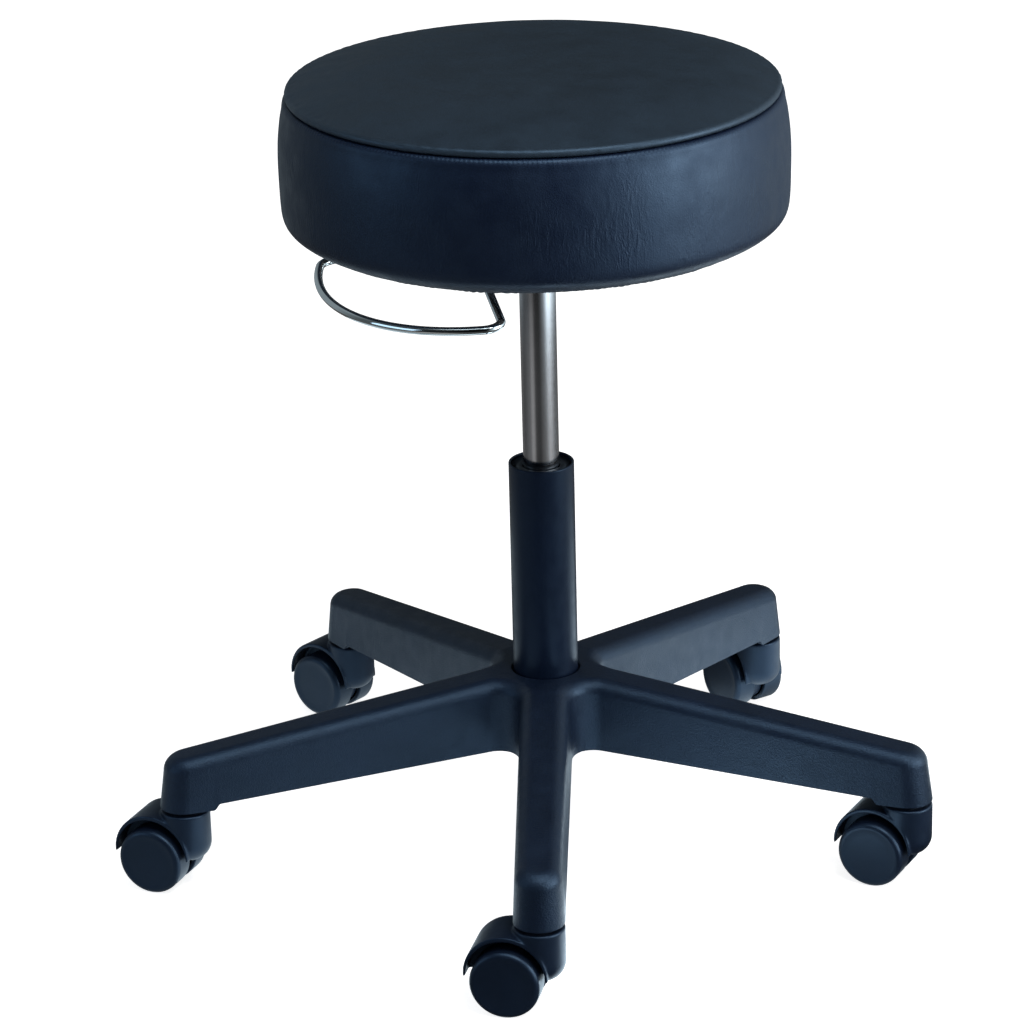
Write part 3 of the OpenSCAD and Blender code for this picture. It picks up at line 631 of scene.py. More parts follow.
STEM_FOOT_R, STEM_FOOT_H, AXLE_R = 0.004, 0.012, 0.003
HOOD_VOXEL = 0.0007


def caster_frame(n):
    x, y = STEM_PLACES[n][:2]
    along = AXLE_PLACES[n] - STEM_PLACES[n]
    return shift((x, y, 0)) @ turn_about("Z", atan2(along.y, along.x))


def across(name, outline, width):
    """A plate across the caster: an outline in x and z, width thick, centred on y = 0."""
    plate = prism(name, outline, -width / 2, lambda x, y: width / 2)
    plate.data.transform(turn_about("X", radians(90)))
    return plate


def arch_outline(radius, centre_z, foot_z):
    """Upper half circle over straight sides."""
    return [(TRAIL - radius, foot_z), (TRAIL + radius, foot_z)] + arc((TRAIL, centre_z), radius, 0, 180, 72)


def crosswise(made, x, z):
    """Turns a lathe about Z into one about the axle, at x and z."""
    made.data.transform(shift((x, 0, z)) @ turn_about("X", radians(-90)))
    return made


def rod(name, radius, low, high, sides=64):
    return lathe(name, [(0, low), (radius, low), (radius, high), (0, high)], sides)


def hood_shape():
    """Housing under the leg's tip, canopy over the wheels and web between them."""
    rim = 0.0012
    straight_z = HOOD_TOP_Z - HOUSING_STRAIGHT_H
    foot = [(HOUSING_FOOT_R + (HOUSING_R - HOUSING_FOOT_R) * cos(t),
             straight_z - (straight_z - HOUSING_FOOT_Z) * sin(t)) for t in np.linspace(pi / 2, 0, 15)]
    hood = lathe("hood", [(0, HOUSING_FOOT_Z)] + foot
                 + arc((HOUSING_R - rim, HOOD_TOP_Z - rim), rim, 0, 90, 5) + [(0, HOOD_TOP_Z)], 128)
    cut_with(hood, across("canopy", arch_outline(CANOPY_R, CANOPY_Z, LIP_Z), 2 * HOUSING_R), "UNION")
    cut_with(hood, across("arch", arch_outline(ARCH_R, ARCH_Z, -0.01), 3 * HOUSING_R))
    inset = 0.0003
    web = across("web", arch_outline(CANOPY_R - inset, CANOPY_Z, LIP_Z + inset), WEB_T)
    disc = crosswise(rod("disc", WEB_R_OUT, -WEB_T / 2 + inset / 2, WEB_T / 2 - inset / 2), TRAIL, AXLE_Z)
    cut_with(web, disc, "UNION")
    cut_with(hood, web, "UNION")
    cut_with(hood, rod("stem_bore", STEM_FOOT_R + 0.0003, HOOD_TOP_Z - STEM_FOOT_H - 0.0008, HOOD_TOP_Z + 0.01))
    cut_with(hood, crosswise(rod("axle_bore", AXLE_R + 0.0003, -PAIR_W, PAIR_W), TRAIL, AXLE_Z))
    remesh = hood.modifiers.new("remesh", "REMESH")
    remesh.mode, remesh.voxel_size = "VOXEL", HOOD_VOXEL
    soften = hood.modifiers.new("soften", "SMOOTH")
    soften.factor, soften.iterations = 0.5, 7
    return smooth(bake(hood), 180)


def wheel_shape():
    """The wheel on the +Y side: tread, rounded rim, faintly hollow disc, hub inside."""
    in_y, out_y = WEB_T / 2 + 0.0002, PAIR_W / 2
    rim, tyre, disc, hub = 0.0042, 0.0035, 0.003, 0.007
    bore = AXLE_R + 0.00005
    hollow = 0.00035
    edge = 0.0006
    profile = [(bore, in_y), (hub - edge, in_y), (hub, in_y + edge), (hub, out_y - disc),
               (WHEEL_R - tyre, out_y - disc), (WHEEL_R - tyre, in_y + edge), (WHEEL_R - tyre + edge, in_y),
               (WHEEL_R - edge, in_y), (WHEEL_R, in_y + edge)]
    profile += arc((WHEEL_R - rim, out_y - rim), rim, 0, 90, 14)
    profile += [(WHEEL_R - rim - 0.0012, out_y - 0.00012), (WHEEL_R - rim - 0.0024, out_y - hollow),
                (0.6 * WHEEL_R, out_y - hollow), (0.3 * WHEEL_R, out_y - 0.8 * hollow), (0, out_y - 0.7 * hollow),
                (0, out_y - disc), (bore, out_y - disc)]
    return smooth(crosswise(lathe("wheel", profile, 144), TRAIL, AXLE_Z), 32)


def make_casters():
    hood, wheel = hood_shape(), wheel_shape()
    to_axle = shift((TRAIL, 0, 0))
    far_side = to_axle @ turn_about("Z", pi) @ to_axle.inverted()
    for n in range(LEGS):
        here = caster_frame(n)
        k = n + 1
        shell = linked(f"caster_{k}_shell", hood.data, here)
        dress(shell, f"caster_{k}", "caster_plastic", f"caster_{k}_hood")
        for side, turn in (("left", Matrix.Identity(4)), ("right", far_side)):
            roller = linked(f"caster_{k}_roller_{side}", wheel.data, here @ turn)
            dress(roller, f"wheel_{k}_{side}", "wheel_plastic", f"caster_{k}_wheel_{side}")
    bpy.data.objects.remove(hood)
    bpy.data.objects.remove(wheel)


SPACERS, SPACER_R, SPACER_CIRCLE_R, SPACER_REACH = 6, 0.0011, 0.0125, 0.72


def make_spacer_ribs():
    """Small ribs under each leg tip, round the stem, down through most of the gap."""
    low = BOSS_Z - SPACER_REACH * (BOSS_Z - HOOD_TOP_Z)
    for n in range(LEGS):
        ribs = []
        for i in range(SPACERS):
            rib = rod("rib", SPACER_R, low, BOSS_Z + 0.0001, 20)
            turn = turn_about("Z", TAU * (i + 0.5) / SPACERS)
            rib.matrix_world = caster_frame(n) @ turn @ shift((SPACER_CIRCLE_R, 0, 0))
            ribs.append(rib)
        bpy.context.view_layer.update()
        dress(smooth(join(ribs, f"leg_{n + 1}_spacers")), "base", "base_plastic")


def make_column():
    """Column tube with a rolled lip, tapered where it stands in the hub."""
    top = corner("column_tube", 2)
    wall, lip = 0.0018, 0.0009
    inner = COLUMN_R - wall
    low_inner = column_at(COLUMN_LOW_Z) - wall
    floor_t, floor_w = 0.002, 0.004
    profile = [(low_inner - floor_w, COLUMN_LOW_Z), (column_at(COLUMN_LOW_Z) - 0.0005, COLUMN_LOW_Z),
               (column_at(COLUMN_LOW_Z), COLUMN_LOW_Z + 0.0005), (COLUMN_R, HUB_TOP_Z)]
    profile += arc((COLUMN_R - lip, top - lip), lip, 0, 180, 12)
    profile += [(inner, HUB_TOP_Z), (low_inner, COLUMN_LOW_Z + floor_t),
                (low_inner - floor_w, COLUMN_LOW_Z + floor_t)]
    dress(weigh(smooth(lathe("column_shell", profile, 192))), "base", "column_paint", "column_tube")


# Release ring: the frame's route, swept with a rounder section
WIRE_R = 0.00325
PIVOT_X, PIVOT_Z = 0.030, joints["release_pull"]["pos_m"][2]
BOW_R, BOW_X, ARM_TURN, CORNER_R, RING_DROOP = 0.146, 0.025, 60.5, 0.011, 8.5
ARM_X, ARM_BEND_R = 0.057, 0.008


def ring_route():
    """Half of the ring in its own plane, from the rocker out to the middle of the bow."""
    a = radians(ARM_TURN)
    stub_y = WIRE_R + 0.0002
    start_x = ARM_X + stub_y / tan(a)
    bend_len = ARM_BEND_R * tan(a / 2)
    wx, wy = start_x - BOW_X + CORNER_R * sin(a), stub_y - CORNER_R * cos(a)
    dot = wx * cos(a) + wy * sin(a)
    arm_len = sqrt(dot ** 2 - wx ** 2 - wy ** 2 + (BOW_R - CORNER_R) ** 2) - dot
    cx, cy = BOW_X + wx + arm_len * cos(a), wy + arm_len * sin(a)
    end_turn = degrees(atan2(cy, cx - BOW_X))
    stub = [(PIVOT_X + 0.006 + (start_x - bend_len - PIVOT_X - 0.006) * i / 6, stub_y) for i in range(6)]
    bend = arc((start_x - bend_len, stub_y + ARM_BEND_R), ARM_BEND_R, -90, ARM_TURN - 90, 10)
    arm = [(start_x + (bend_len + (arm_len - bend_len) * t) * cos(a),
            stub_y + (bend_len + (arm_len - bend_len) * t) * sin(a)) for t in np.linspace(0, 1, 14)[1:-1]]
    turn = arc((cx, cy), CORNER_R, 90 + ARM_TURN, end_turn, 16)
    bow = arc((BOW_X, 0), BOW_R, end_turn, 0, 60)[1:]
    return stub + bend + arm + turn + bow


def make_ring():
    half = ring_route()
    route = half + [(x, -y) for x, y in reversed(half[:-1])]
    droop = radians(RING_DROOP)
    path = []
    for x, y in route:
        x, z = PIVOT_X + (x - PIVOT_X) * cos(droop), PIVOT_Z - (x - PIVOT_X) * sin(droop)
        path.append((*turned((x, y), RING_TURN), z))
    dress(smooth(tube("release_ring", path, WIRE_R, 36)), "release_lever", "ring_chrome", "d_ring")


# Dust cloth under the board
SHEET_HOLES, SHEET_HOLE_R, SHEET_SAG, SHEET_FREE_R, STAPLES = 0.065, 0.0045, 0.0009, 0.112, 28


def make_dust_sheet():
    """Stretched cloth, held by the staples and the plate, a little slack between."""
    reach, low, high = corner("dust_cover", 0), corner("dust_cover", 2, high=False), corner("dust_cover", 2)
    radii = np.linspace(0.008, reach, 40)
    profile = [(0, low)] + [(r, low) for r in radii] + [(r, high) for r in radii[::-1]] + [(0, high)]
    sheet = lathe("dust_sheet", profile, 8 * STAPLES)
    for v in sheet.data.vertices:
        free = min(max((hypot(*v.co[:2]) - SHEET_FREE_R) / (reach - SHEET_FREE_R), 0), 1)
        wave = 0.75 + 0.25 * cos(STAPLES * atan2(v.co.y, v.co.x))
        v.co.z -= SHEET_SAG * wave * sin(pi * free) ** 2
    for x, y in ((1, 1), (1, -1), (-1, 1), (-1, -1)):
        hole = rod("hole", SHEET_HOLE_R, low - 0.01, high + 0.01, 32)
        hole.data.transform(shift((*turned((x * SHEET_HOLES, y * SHEET_HOLES), RING_TURN), 0)))
        cut_with(sheet, hole)
    dress(smooth(sheet), "seat", "dust_cloth", "dust_cover")


# Cushion
SEAT_R = half_width("seat_cover_side")
SEAT_Z = corner("seat_cover_side", 2, high=False)
SIDE_H, SEAM_R, CROWN_TOP_Z = 0.1092, 0.185, corner("seat_cover_top", 2)
SEAM_Z = SEAT_Z + SIDE_H
BOARD_R = corner("seat_board", 0)
BOARD_Z, BOARD_TOP_Z = corner("seat_board", 2, high=False), corner("seat_board", 2)
COVER_T = 0.0012
WRAP_R = BOARD_R - 0.012
SIDE_SHARES = [(0.844, 0), (0.885, 0.012), (0.923, 0.04), (0.958, 0.072), (0.982, 0.11), (0.993, 0.16),
               (0.997, 0.24), (0.999, 0.36), (1, 0.52), (0.997, 0.66), (0.988, 0.8), (0.979, 0.88)]
SEAM_LIP = [(0.0024, -0.0090), (0.0016, -0.0065), (0.0002, -0.0051), (-0.0020, -0.0047)]
ROLL_R, ROLL_CENTRE = 0.0034, (SEAM_R - 0.0031, SEAM_Z - 0.0014)
PANEL_EDGE_RISE = 0.0024
CROWN_FLATNESS = 4
STITCHES = 336
COLUMNS = 4 * STITCHES
ANGLES = TAU * np.arange(COLUMNS) / COLUMNS
STITCH_WAVE = 0.5 + 0.5 * np.cos(STITCHES * ANGLES)[None, :]


def spline(points, step):
    """A smooth line through points, in even steps, and how far along it each step is."""
    p = np.array(points, float)
    p = np.vstack([2 * p[0] - p[1], p, 2 * p[-1] - p[-2]])
    t = np.linspace(0, 1, 24, endpoint=False)[:, None]
    parts = []
    for a, b, c, d in zip(p, p[1:], p[2:], p[3:]):
        parts.append(0.5 * (2 * b + (c - a) * t + (2 * a - 5 * b + 4 * c - d) * t ** 2
                            + (3 * b - a - 3 * c + d) * t ** 3))
    line = np.vstack(parts + [p[-2:-1]])
    run = np.concatenate([[0], np.cumsum(np.linalg.norm(np.diff(line, axis=0), axis=1))])
    even = np.linspace(0, run[-1], int(run[-1] / step) + 1)
    return np.stack([np.interp(even, run, line[:, i]) for i in (0, 1)], axis=1), even


def crown_z(r):
    base = ROLL_CENTRE[1] + PANEL_EDGE_RISE
    return base + (CROWN_TOP_Z - base) * (1 - (r / SEAM_R) ** CROWN_FLATNESS)


def field(run, wave, stretch, seed, spread=0.45):
    """Random heights over the rows of a band: waves of a given width round the seat, drawn out upwards."""
    rows = len(run)
    noise = np.random.default_rng(seed).standard_normal((rows, COLUMNS))
    round_k = np.fft.fftfreq(COLUMNS, TAU * SEAT_R / COLUMNS)[None, :]
    up_k = np.fft.fftfreq(rows, run[-1] / rows)[:, None]
    wanted = 1 / wave
    keep = np.exp(-((np.abs(round_k) - wanted) / (spread * wanted)) ** 2 - (up_k * stretch) ** 2)
    made = np.fft.ifft2(np.fft.fft2(noise) * keep).real
    return made / made.std()


def warped(values, round_by, up_by):
    """A field read at places that two other fields move round the seat and up it."""
    rows = values.shape[0]
    across_at = np.arange(COLUMNS)[None, :] + round_by
    up_at = np.clip(np.arange(rows)[:, None] + up_by, 0, rows - 1.001)
    left, low = np.floor(across_at).astype(int), up_at.astype(int)
    part, rise = across_at - left, up_at - low
    return sum(values[low + i, (left + j) % COLUMNS] * (rise if i else 1 - rise) * (part if j else 1 - part)
               for i in (0, 1) for j in (0, 1))


def skin_mesh(name, before, line, after, move):
    """A closed lathe between two poles: a line moved along its normals, between rows that stay round."""
    profile = np.vstack([before, line, after])
    moved = slice(len(before), len(before) + len(line))
    steps = np.zeros((2, len(profile), COLUMNS))
    for step, out in zip(steps, normals_of(line)):
        step[moved] = move * out[:, None]
    r, z = profile[:, :1] + steps[0], profile[:, 1:] + steps[1]
    points = np.stack([r * np.cos(ANGLES), r * np.sin(ANGLES), z], axis=-1).reshape(-1, 3).tolist()
    i = np.arange(COLUMNS)
    j = (i + 1) % COLUMNS
    rows = [np.stack([k + i, k + j, k + COLUMNS + j, k + COLUMNS + i], axis=1)
            for k in range(0, (len(profile) - 1) * COLUMNS, COLUMNS)]
    faces = np.vstack(rows).tolist()
    low, high, last = len(points), len(points) + 1, (len(profile) - 1) * COLUMNS
    points += [(0, 0, profile[0, 1]), (0, 0, profile[-1, 1])]
    faces += [(low, int(b), int(a)) for a, b in zip(i, j)]
    faces += [(last + int(a), last + int(b), high) for a, b in zip(i, j)]
    return mesh_object(name, points, faces)


# Cloth drum for the cushion's lumps: size of its cells, frames of the simulation and the furthest a point may move;
# its lumps are read in rows up the side, rings over the top and turns round both
DRUM_CELL, DRUM_FRAMES, DRUM_SWELL = 0.006, 20, 0.005
DRUM_CLOTH = {"uniform_pressure_force": 4, "quality": 5, "tension_stiffness": 8, "compression_stiffness": 8,
              "bending_stiffness": 0.4}
LUMP_ROWS, LUMP_RINGS, LUMP_TURNS = 14, 16, 180
LUMP_MARGIN_Z, LUMP_NEAR_R, LUMP_FAR_R = 0.012, 0.02, SEAM_R - 0.014


def swollen_drum():
    """A drum of the cushion's size, blown up a little as cloth; its seam and its stapled edge hold."""
    inset = 0.004
    outline, _ = spline([(SEAT_R * s, SEAT_Z + SIDE_H * t) for s, t in SIDE_SHARES], DRUM_CELL)
    crown = [(r, crown_z(r) - inset) for r in np.linspace(SEAM_R - inset, 0.01, 20)]
    wall = [(r - inset, max(z, SEAT_Z + inset)) for r, z in outline]
    profile = [(0, SEAT_Z + inset)] + wall + crown + [(0, crown_z(0) - inset)]
    drum = lathe("drum", profile, 160)
    remesh = drum.modifiers.new("remesh", "REMESH")
    remesh.mode, remesh.voxel_size = "VOXEL", DRUM_CELL
    bake(drum)
    rest = np.array([v.co for v in drum.data.vertices])
    held = drum.vertex_groups.new(name="held")
    radius = np.hypot(rest[:, 0], rest[:, 1])
    angle = np.arctan2(rest[:, 1], rest[:, 0])
    seam = (np.abs(rest[:, 2] - SEAM_Z + inset) < DRUM_CELL) & (radius > SEAM_R - 2 * DRUM_CELL)
    foot = (rest[:, 2] < SEAT_Z + 0.008) & (radius < SEAT_R - 0.022)
    staple = 0.5 + 0.5 * np.cos(STAPLES * angle)
    for v in np.flatnonzero(seam | foot):
        held.add([int(v)], 1.0 if foot[v] else 0.55 + 0.45 * staple[v] ** 2, "REPLACE")
    cloth = drum.modifiers.new("cloth", "CLOTH")
    cloth.settings.use_pressure = True
    cloth.settings.vertex_group_mass = held.name
    cloth.settings.effector_weights.gravity = 0
    for key, value in DRUM_CLOTH.items():
        setattr(cloth.settings, key, value)
    cloth.point_cache.frame_start, cloth.point_cache.frame_end = 1, DRUM_FRAMES
    for frame_number in range(1, DRUM_FRAMES + 1):
        scene.frame_set(frame_number)
    blown = drum.evaluated_get(bpy.context.evaluated_depsgraph_get())
    moved = np.array([v.co for v in blown.data.vertices])
    step = moved - rest
    size = np.linalg.norm(step, axis=1, keepdims=True)
    moved = rest + step * np.minimum(1, DRUM_SWELL / np.maximum(size, 1e-9))
    faces = [list(f.vertices) for f in drum.data.polygons]
    drop(drum)
    scene.frame_set(1)
    return BVHTree.FromPolygons(moved.tolist(), faces), BVHTree.FromPolygons(rest.tolist(), faces)


def eased(values, rounds):
    """Averages neighbours round the seat and up it."""
    for _ in range(rounds):
        values = (2 * values + np.roll(values, 1, 1) + np.roll(values, -1, 1)) / 4
        padded = np.vstack([values[:1], values, values[-1:]])
        values = (2 * values + padded[:-2] + padded[2:]) / 4
    return values


def unevenness(trees, rays):
    """How far the simulated skin stands from its average round the seat, for rows of rays."""
    rows = []
    for ring in rays:
        row = []
        for start, way in ring:
            reach = [tree.ray_cast(Vector(start), Vector(way))[3] for tree in trees]
            row.append(0.0 if None in reach else reach[0] - reach[1])
        rows.append(row)
    found = eased(np.array(rows), 3)
    return found - found.mean(axis=1, keepdims=True)


def widened(values, at):
    """A coarse table read at given places along its rows, for every column round the seat."""
    low = np.clip(at.astype(int), 0, values.shape[0] - 2)
    mixed = values[low] * (1 - (at - low))[:, None] + values[low + 1] * (at - low)[:, None]
    coarse = values.shape[1]
    spot = np.arange(COLUMNS) * coarse / COLUMNS
    left = spot.astype(int)
    part = spot - left
    part = part * part * (3 - 2 * part)
    return mixed[:, left % coarse] * (1 - part) + mixed[:, (left + 1) % coarse] * part


def drum_lumps():
    """Low soft lumps of the side band and the top panel, from the cloth simulation."""
    trees = swollen_drum()
    turns = TAU * np.arange(LUMP_TURNS) / LUMP_TURNS
    ways = list(zip(np.cos(turns), np.sin(turns)))
    heights = np.linspace(SEAT_Z + LUMP_MARGIN_Z, SEAM_Z - LUMP_MARGIN_Z, LUMP_ROWS)
    side = unevenness(trees, [[((0, 0, z), (x, y, 0)) for x, y in ways] for z in heights])
    radii = np.linspace(LUMP_NEAR_R, LUMP_FAR_R, LUMP_RINGS)
    top = unevenness(trees, [[((r * x, r * y, SEAT_Z + 0.05), (0, 0, 1)) for x, y in ways] for r in radii])
    return side, top


def bell(x, width):
    return np.exp(-(x / width) ** 2)


def smoothstep(x, low, high):
    t = np.clip((x - low) / (high - low), 0, 1)
    return t * t * (3 - 2 * t)


def normals_of(line):
    """Outward normals of a profile that runs up the outside."""
    along = np.gradient(line, axis=0)
    along /= np.linalg.norm(along, axis=1, keepdims=True)
    return along[:, 1], -along[:, 0]


# Depths of the cushion's relief: soft lumps at most, creases, puckers, dents of the stitches, closing seam, pleats
SIDE_LUMP, SIDE_CREASE, SIDE_PUCKER, SIDE_STITCH = 0.0012, 0.00005, 0.00003, 0.00028
CLOSING_GROOVE, CLOSING_RIDGE, PLEAT = 0.0009, 0.0003, 0.00030
TOP_LUMP, TOP_PUCKER, TOP_STITCH = 0.001, 0.00006, 0.00018


def make_side(lumps):
    """Foam and side band as one closed pad, with creases, puckers and a closing seam."""
    shares = [(SEAT_R * s, SEAT_Z + SIDE_H * t) for s, t in SIDE_SHARES]
    lip = [(SEAM_R + dr, SEAM_Z + dz) for dr, dz in SEAM_LIP]
    line, run = spline([(WRAP_R, SEAT_Z), (WRAP_R + 0.008, SEAT_Z)] + shares + lip, 0.0011)
    far = run[-1] - run
    wall = smoothstep(run, 0.03, 0.06) * smoothstep(far, 0.002, 0.012)
    ends = [SEAT_Z + LUMP_MARGIN_Z, SEAM_Z - LUMP_MARGIN_Z]
    soft = widened(lumps, np.interp(line[:, 1], ends, [0, len(lumps) - 1]))
    move = 0.9 * np.clip(soft, -SIDE_LUMP, SIDE_LUMP) * wall[:, None]
    patches = 0.55 + 0.45 * np.tanh(1.2 * field(run, 0.09, 0.08, 21, 0.8))
    bend = field(run, 0.03, 0.025, 26, 0.8)
    folds = warped(field(run, 0.0075, 0.028, 22), 3.0 * bend, 4.0 * field(run, 0.02, 0.02, 27))
    broad = warped(field(run, 0.016, 0.035, 23), 5.0 * bend, 0)
    lower = (1 - 0.75 * smoothstep(line[:, 1], CREASE_FADE_Z[1], CREASE_FADE_Z[0]))[:, None]
    move += SIDE_CREASE * (np.abs(np.tanh(1.2 * folds)) + 0.6 * broad) * patches * lower * wall[:, None]
    puckers = field(run, 0.014, 0.03, 24)
    move += SIDE_PUCKER * puckers * bell(far - 0.006, 0.009)[:, None]
    move -= SIDE_STITCH * STITCH_WAVE * bell(far - 0.0035, 0.0018)[:, None]
    seam = (ANGLES - pi / 2) * SEAT_R
    climb = (smoothstep(run, 0.0, 0.02) * smoothstep(far, 0.0, 0.004))[:, None]
    move -= CLOSING_GROOVE * bell(seam, 0.0011)[None, :] * climb
    move += CLOSING_RIDGE * (bell(seam - 0.0032, 0.0022) + bell(seam + 0.0032, 0.0022))[None, :] * climb
    pleats = np.abs(field(run, 0.012, 0.2, 25))
    tuck = smoothstep(run, 0.011, 0.018) * (1 - smoothstep(run, 0.024, 0.036))
    move += PLEAT * pleats * tuck[:, None]
    inside_top = [(r, crown_z(r) - COVER_T - 0.0005) for r in np.linspace(SEAM_R - 0.012, 0.02, 9)]
    over_board, round_board = BOARD_TOP_Z + 0.0017, BOARD_R + 0.0003
    inside_low = [(0.02, over_board), (round_board, over_board), (round_board, BOARD_Z), (WRAP_R, BOARD_Z)]
    pad = skin_mesh("cushion_side", inside_low, line, inside_top, move)
    dress(smooth(pad, 60), "seat", "vinyl_side", "seat_cover_side", "seat_foam")


def make_top(lumps):
    """Top panel: crowned, and rolled over at its edge into the seam."""
    start = degrees(atan2(1, 4 * (CROWN_TOP_Z - SEAM_Z) / SEAM_R))
    roll = arc(ROLL_CENTRE, ROLL_R, -48, start, 12)
    crown = [(r, crown_z(r)) for r in np.linspace(roll[-1][0] - 0.0025, 0.003, 40)]
    line, run = spline([(ROLL_CENTRE[0] - 0.0012, ROLL_CENTRE[1] - 0.0026)] + roll + crown, 0.0014)
    keep = np.flatnonzero((run < 0.02) | (np.arange(len(run)) % 3 == 0))
    line, run = line[keep], run[keep]
    places = np.interp(line[:, 0], [LUMP_NEAR_R, LUMP_FAR_R], [0, len(lumps) - 1])
    centre = smoothstep(line[:, 0], 0.0, 0.05) * smoothstep(run, 0.008, 0.03)
    move = 0.8 * np.clip(widened(lumps, places), -TOP_LUMP, TOP_LUMP) * centre[:, None]
    puckers = field(run, 0.013, 0.03, 31)
    move += TOP_PUCKER * puckers * bell(run - 0.009, 0.008)[:, None]
    move -= TOP_STITCH * STITCH_WAVE * bell(run - 0.0022, 0.0018)[:, None]
    out_r, out_z = normals_of(line)
    inner = np.stack([np.maximum(line[:, 0] - COVER_T * out_r, 0.002), line[:, 1] - COVER_T * out_z], axis=1)[::-4]
    panel = skin_mesh("cushion_top", inner, line, line[:0], move)
    dress(smooth(panel, 60), "seat", "vinyl_top", "seat_cover_top")


def make_cushion():
    side, top = drum_lumps()
    make_side(side)
    make_top(top)


make_camera()
make_base()
make_casters()
make_spacer_ribs()
make_column()
make_ring()
make_dust_sheet()
make_cushion()

for name, node in nodes.items():
    node.data.materials.clear()
    node.data.materials.append(MATERIALS[SLOT_OF[name]])
    weld = node.modifiers.new("weld", "WELD")
    weld.merge_threshold = 0.00001
    weigh(smooth(node))


# Studio: a white floor and world, three soft lamps, and round screens that only reflections see
WHITE_PARTS = ("Is Camera Ray", "Is Glossy Ray", "Is Transmission Ray")
FLOOR_GLOW, WORLD_LEVEL, FLOOR_REACH = 0.80, 0.38, 14
COLD, NEUTRAL = (0.76, 0.91, 1.0), (1.0, 1.0, 1.0)
LEFT = ((-180, 0.04), (-160, 0.2), (-150, 0.8), (-110, 0.8), (-85, 0.4), (-62, 0.35))
# Screens round the stool: inner and outer radius on the floor, height of the wall at the outer radius, tint, and
# brightness at angles in degrees, from the camera's side towards +X
SCREENS = (
    (0.02, 0.14, 0.0, COLD, ((-180, 0.05), (180, 0.05))),
    (0.14, 0.30, 0.0, COLD, (
        (-180, 0.05), (-165, 0.2), (-150, 1.0), (-95, 1.0), (-70, 1.5), (-15, 1.5), (5, 3.0), (14, 4.2), (36, 4.2),
        (50, 0.7), (80, 0.4), (105, 2.2), (140, 2.2), (160, 0.2), (180, 0.05))),
    (0.30, 0.45, 0.0, COLD, LEFT + (
        (-42, 0.2), (-12, 0.1), (20, 0.1), (45, 0.12), (62, 0.08), (80, 0.08), (98, 0.2), (110, 2.8), (132, 2.8),
        (146, 0.1), (180, 0.04))),
    (0.45, 0.66, 0.0, COLD, LEFT + (
        (-42, 0.1), (-12, 0.03), (20, 0.03), (45, 0.06), (62, 0.08), (80, 0.08), (98, 0.2), (110, 2.2), (132, 2.2),
        (146, 0.1), (180, 0.04))),
    (0.66, 1.35, 0.0, NEUTRAL, (
        (-155, 0.15), (-143, 0.146), (-115, 0.073), (-94, 0.09), (-77, 0.13), (-62, 0.16), (-47, 0.36), (-36, 0.32),
        (-24, 0.08), (-8, 0.053), (5, 0.051), (17, 0.105), (30, 0.13), (44, 0.176), (58, 0.36), (74, 0.42), (91, 0.26),
        (111, 0.12), (140, 0.12))),
    (1.35, 3.9, 3.4, COLD, (
        (-180, 0.05), (-150, 0.30), (-118, 0.30), (-94, 0.10), (-60, 0.03), (-30, 0.005), (0, 0.005), (14, 0.06),
        (33, 0.45), (46, 1.5), (58, 3.0), (76, 3.0), (93, 1.85), (124, 0.75), (150, 0.40), (168, 0.07), (180, 0.05))),
)
CEILING_Z, CEILING_LEVELS, SCREEN_LIFT, SCREEN_SIDES = 3.4, ((-180, 0.07), (180, 0.07)), 0.002, 90
# Overhead panel in front of the stool: it gives the rounded edges their light lines
PANEL_Z, PANEL_NEAR, PANEL_FAR = 2.3, 0.35, 1.5
PANEL_LEVELS = ((-180, 0.05), (-78, 0.05), (-52, 2.6), (-34, 2.6), (-22, 4.5), (4, 4.5), (16, 2.6), (52, 2.6),
                (78, 0.05), (180, 0.05))
# Lamps: place, the point that it faces, size, power and colour
LAMPS = {
    "key": ((2.4, -0.9, 0.75), (0, 0, 0.45), (1.9, 1.2), 32, (1, 1, 1)),
    "fill": ((-2.4, -0.9, 0.8), (0, 0, 0.4), (1.3, 1.4), 9, (0.55, 0.78, 1.0)),
    "top_light": ((0.8, -1.2, 2.5), (0, 0, 0.3), (1.0, 0.8), 31, (1, 1, 1)),
}


def seen_plainly(tree, low, high):
    """A strength of high for camera, mirror and glass rays, and of low for the rest."""
    path = tree.nodes.new("ShaderNodeLightPath")
    total = path.outputs[WHITE_PARTS[0]]
    for name in WHITE_PARTS[1:]:
        larger = tree.nodes.new("ShaderNodeMath")
        larger.operation = "MAXIMUM"
        tree.links.new(total, larger.inputs[0])
        tree.links.new(path.outputs[name], larger.inputs[1])
        total = larger.outputs[0]
    level = tree.nodes.new("ShaderNodeMapRange")
    level.inputs["To Min"].default_value, level.inputs["To Max"].default_value = low, high
    tree.links.new(total, level.inputs["Value"])
    return level.outputs["Result"]


def area_light(name, place, target, size, power, colour):
    lamp = bpy.data.lights.new(name, "AREA")
    lamp.shape = "RECTANGLE"
    lamp.size, lamp.size_y = size
    lamp.energy, lamp.color = power, colour
    turn = (Vector(target) - Vector(place)).to_track_quat("-Z", "Y").to_matrix().to_4x4()
    linked(name, lamp, shift(place) @ turn).visible_camera = False


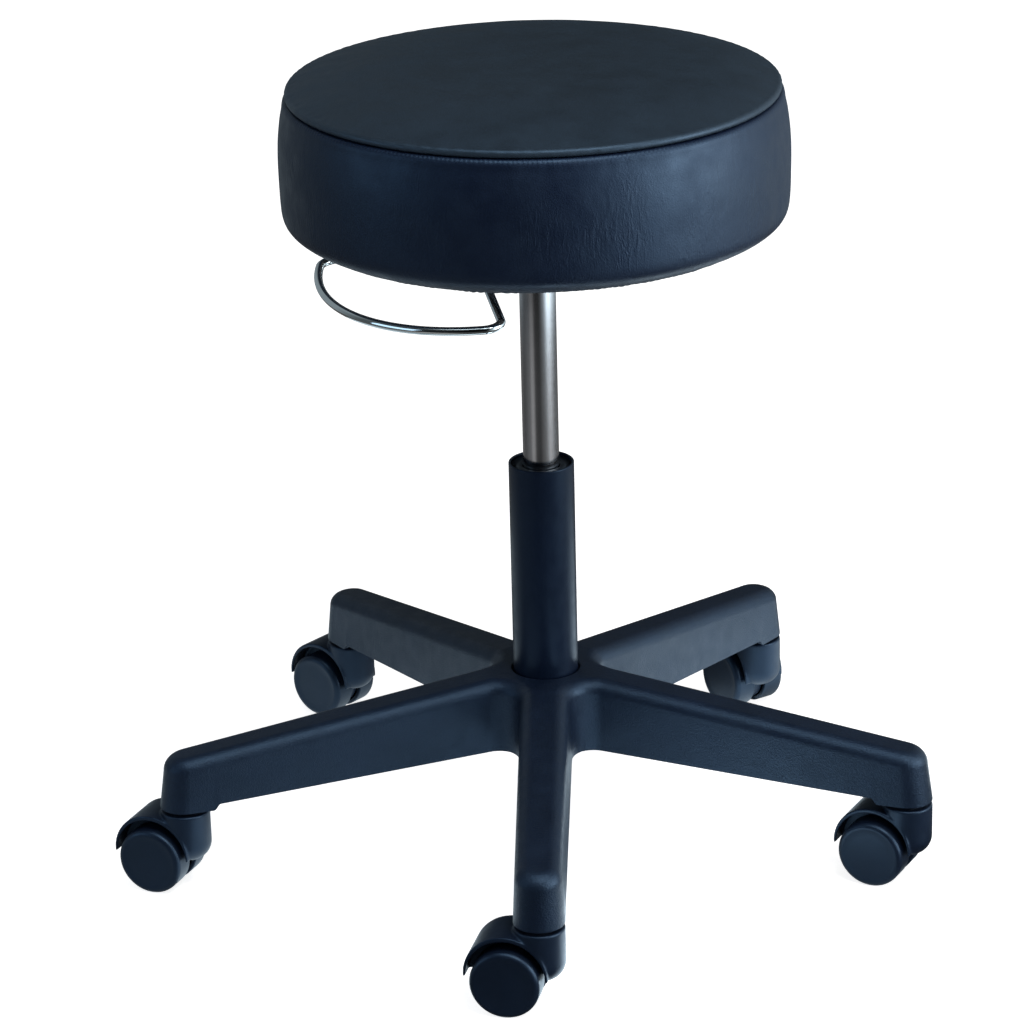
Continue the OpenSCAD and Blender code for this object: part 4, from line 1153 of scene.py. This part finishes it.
def make_floor():
    corners = [(x * FLOOR_REACH, y * FLOOR_REACH, 0) for x, y in ((-1, -1), (1, -1), (1, 1), (-1, 1))]
    floor = mesh_object("floor", corners, [(0, 1, 2, 3)])
    m = Nodes("floor", (0.8, 0.8, 0.8), 0.9, Specular_IOR_Level=0.0, Emission_Color=(1, 1, 1, 1))
    m.link(seen_plainly(m.tree, 0, FLOOR_GLOW), m.shader, "Emission Strength")
    floor.data.materials.append(m.material)


def make_screen(name, rings, tint, levels):
    """A screen through rings of (radius, height), its brightness given at angles."""
    turns = [TAU * i / SCREEN_SIDES for i in range(SCREEN_SIDES)]
    points = [(r * cos(turn), r * sin(turn), z) for r, z in rings for turn in turns]
    screen = mesh_object(name, points, loop_faces(len(rings), SCREEN_SIDES))
    peak = max(level for _, level in levels)
    m = Nodes(name, (0, 0, 0), 1, Specular_IOR_Level=0.0, Emission_Strength=peak)
    axes = m.axes()
    angle = m.maths("ARCTAN2", axes["X"], m.maths("MULTIPLY", axes["Y"], -1))
    shares = m.ramp(angle, 0, 1, -pi, pi)
    stops = [0.5 + turn / 360 for turn, _ in levels]
    m.tint(shares, [shade(tint, level / peak) for _, level in levels], stops, "Emission Color")
    screen.data.materials.append(m.material)
    screen.visible_camera = screen.visible_diffuse = screen.visible_shadow = screen.visible_transmission = False


def make_screens():
    for number, (near, far, height, tint, levels) in enumerate(SCREENS):
        rings = [(near, SCREEN_LIFT), (far, SCREEN_LIFT)] + ([(far, height)] if height else [])
        make_screen(f"screen_{number}", rings, tint, levels)
    make_screen("panel", [(PANEL_NEAR, PANEL_Z), (PANEL_FAR, PANEL_Z)], COLD, PANEL_LEVELS)
    make_screen("ceiling", [(0.01, CEILING_Z), (SCREENS[-1][1], CEILING_Z)], COLD, CEILING_LEVELS)


def make_world():
    world = bpy.data.worlds.new("studio")
    scene.world = world
    world.use_nodes = True
    sky = world.node_tree.nodes["Background"]
    sky.inputs["Color"].default_value = (1, 1, 1, 1)
    world.node_tree.links.new(seen_plainly(world.node_tree, WORLD_LEVEL, 1), sky.inputs["Strength"])


make_floor()
make_world()
make_screens()
for name, lamp in LAMPS.items():
    area_light(name, *lamp)
scene.view_settings.view_transform = "Standard"
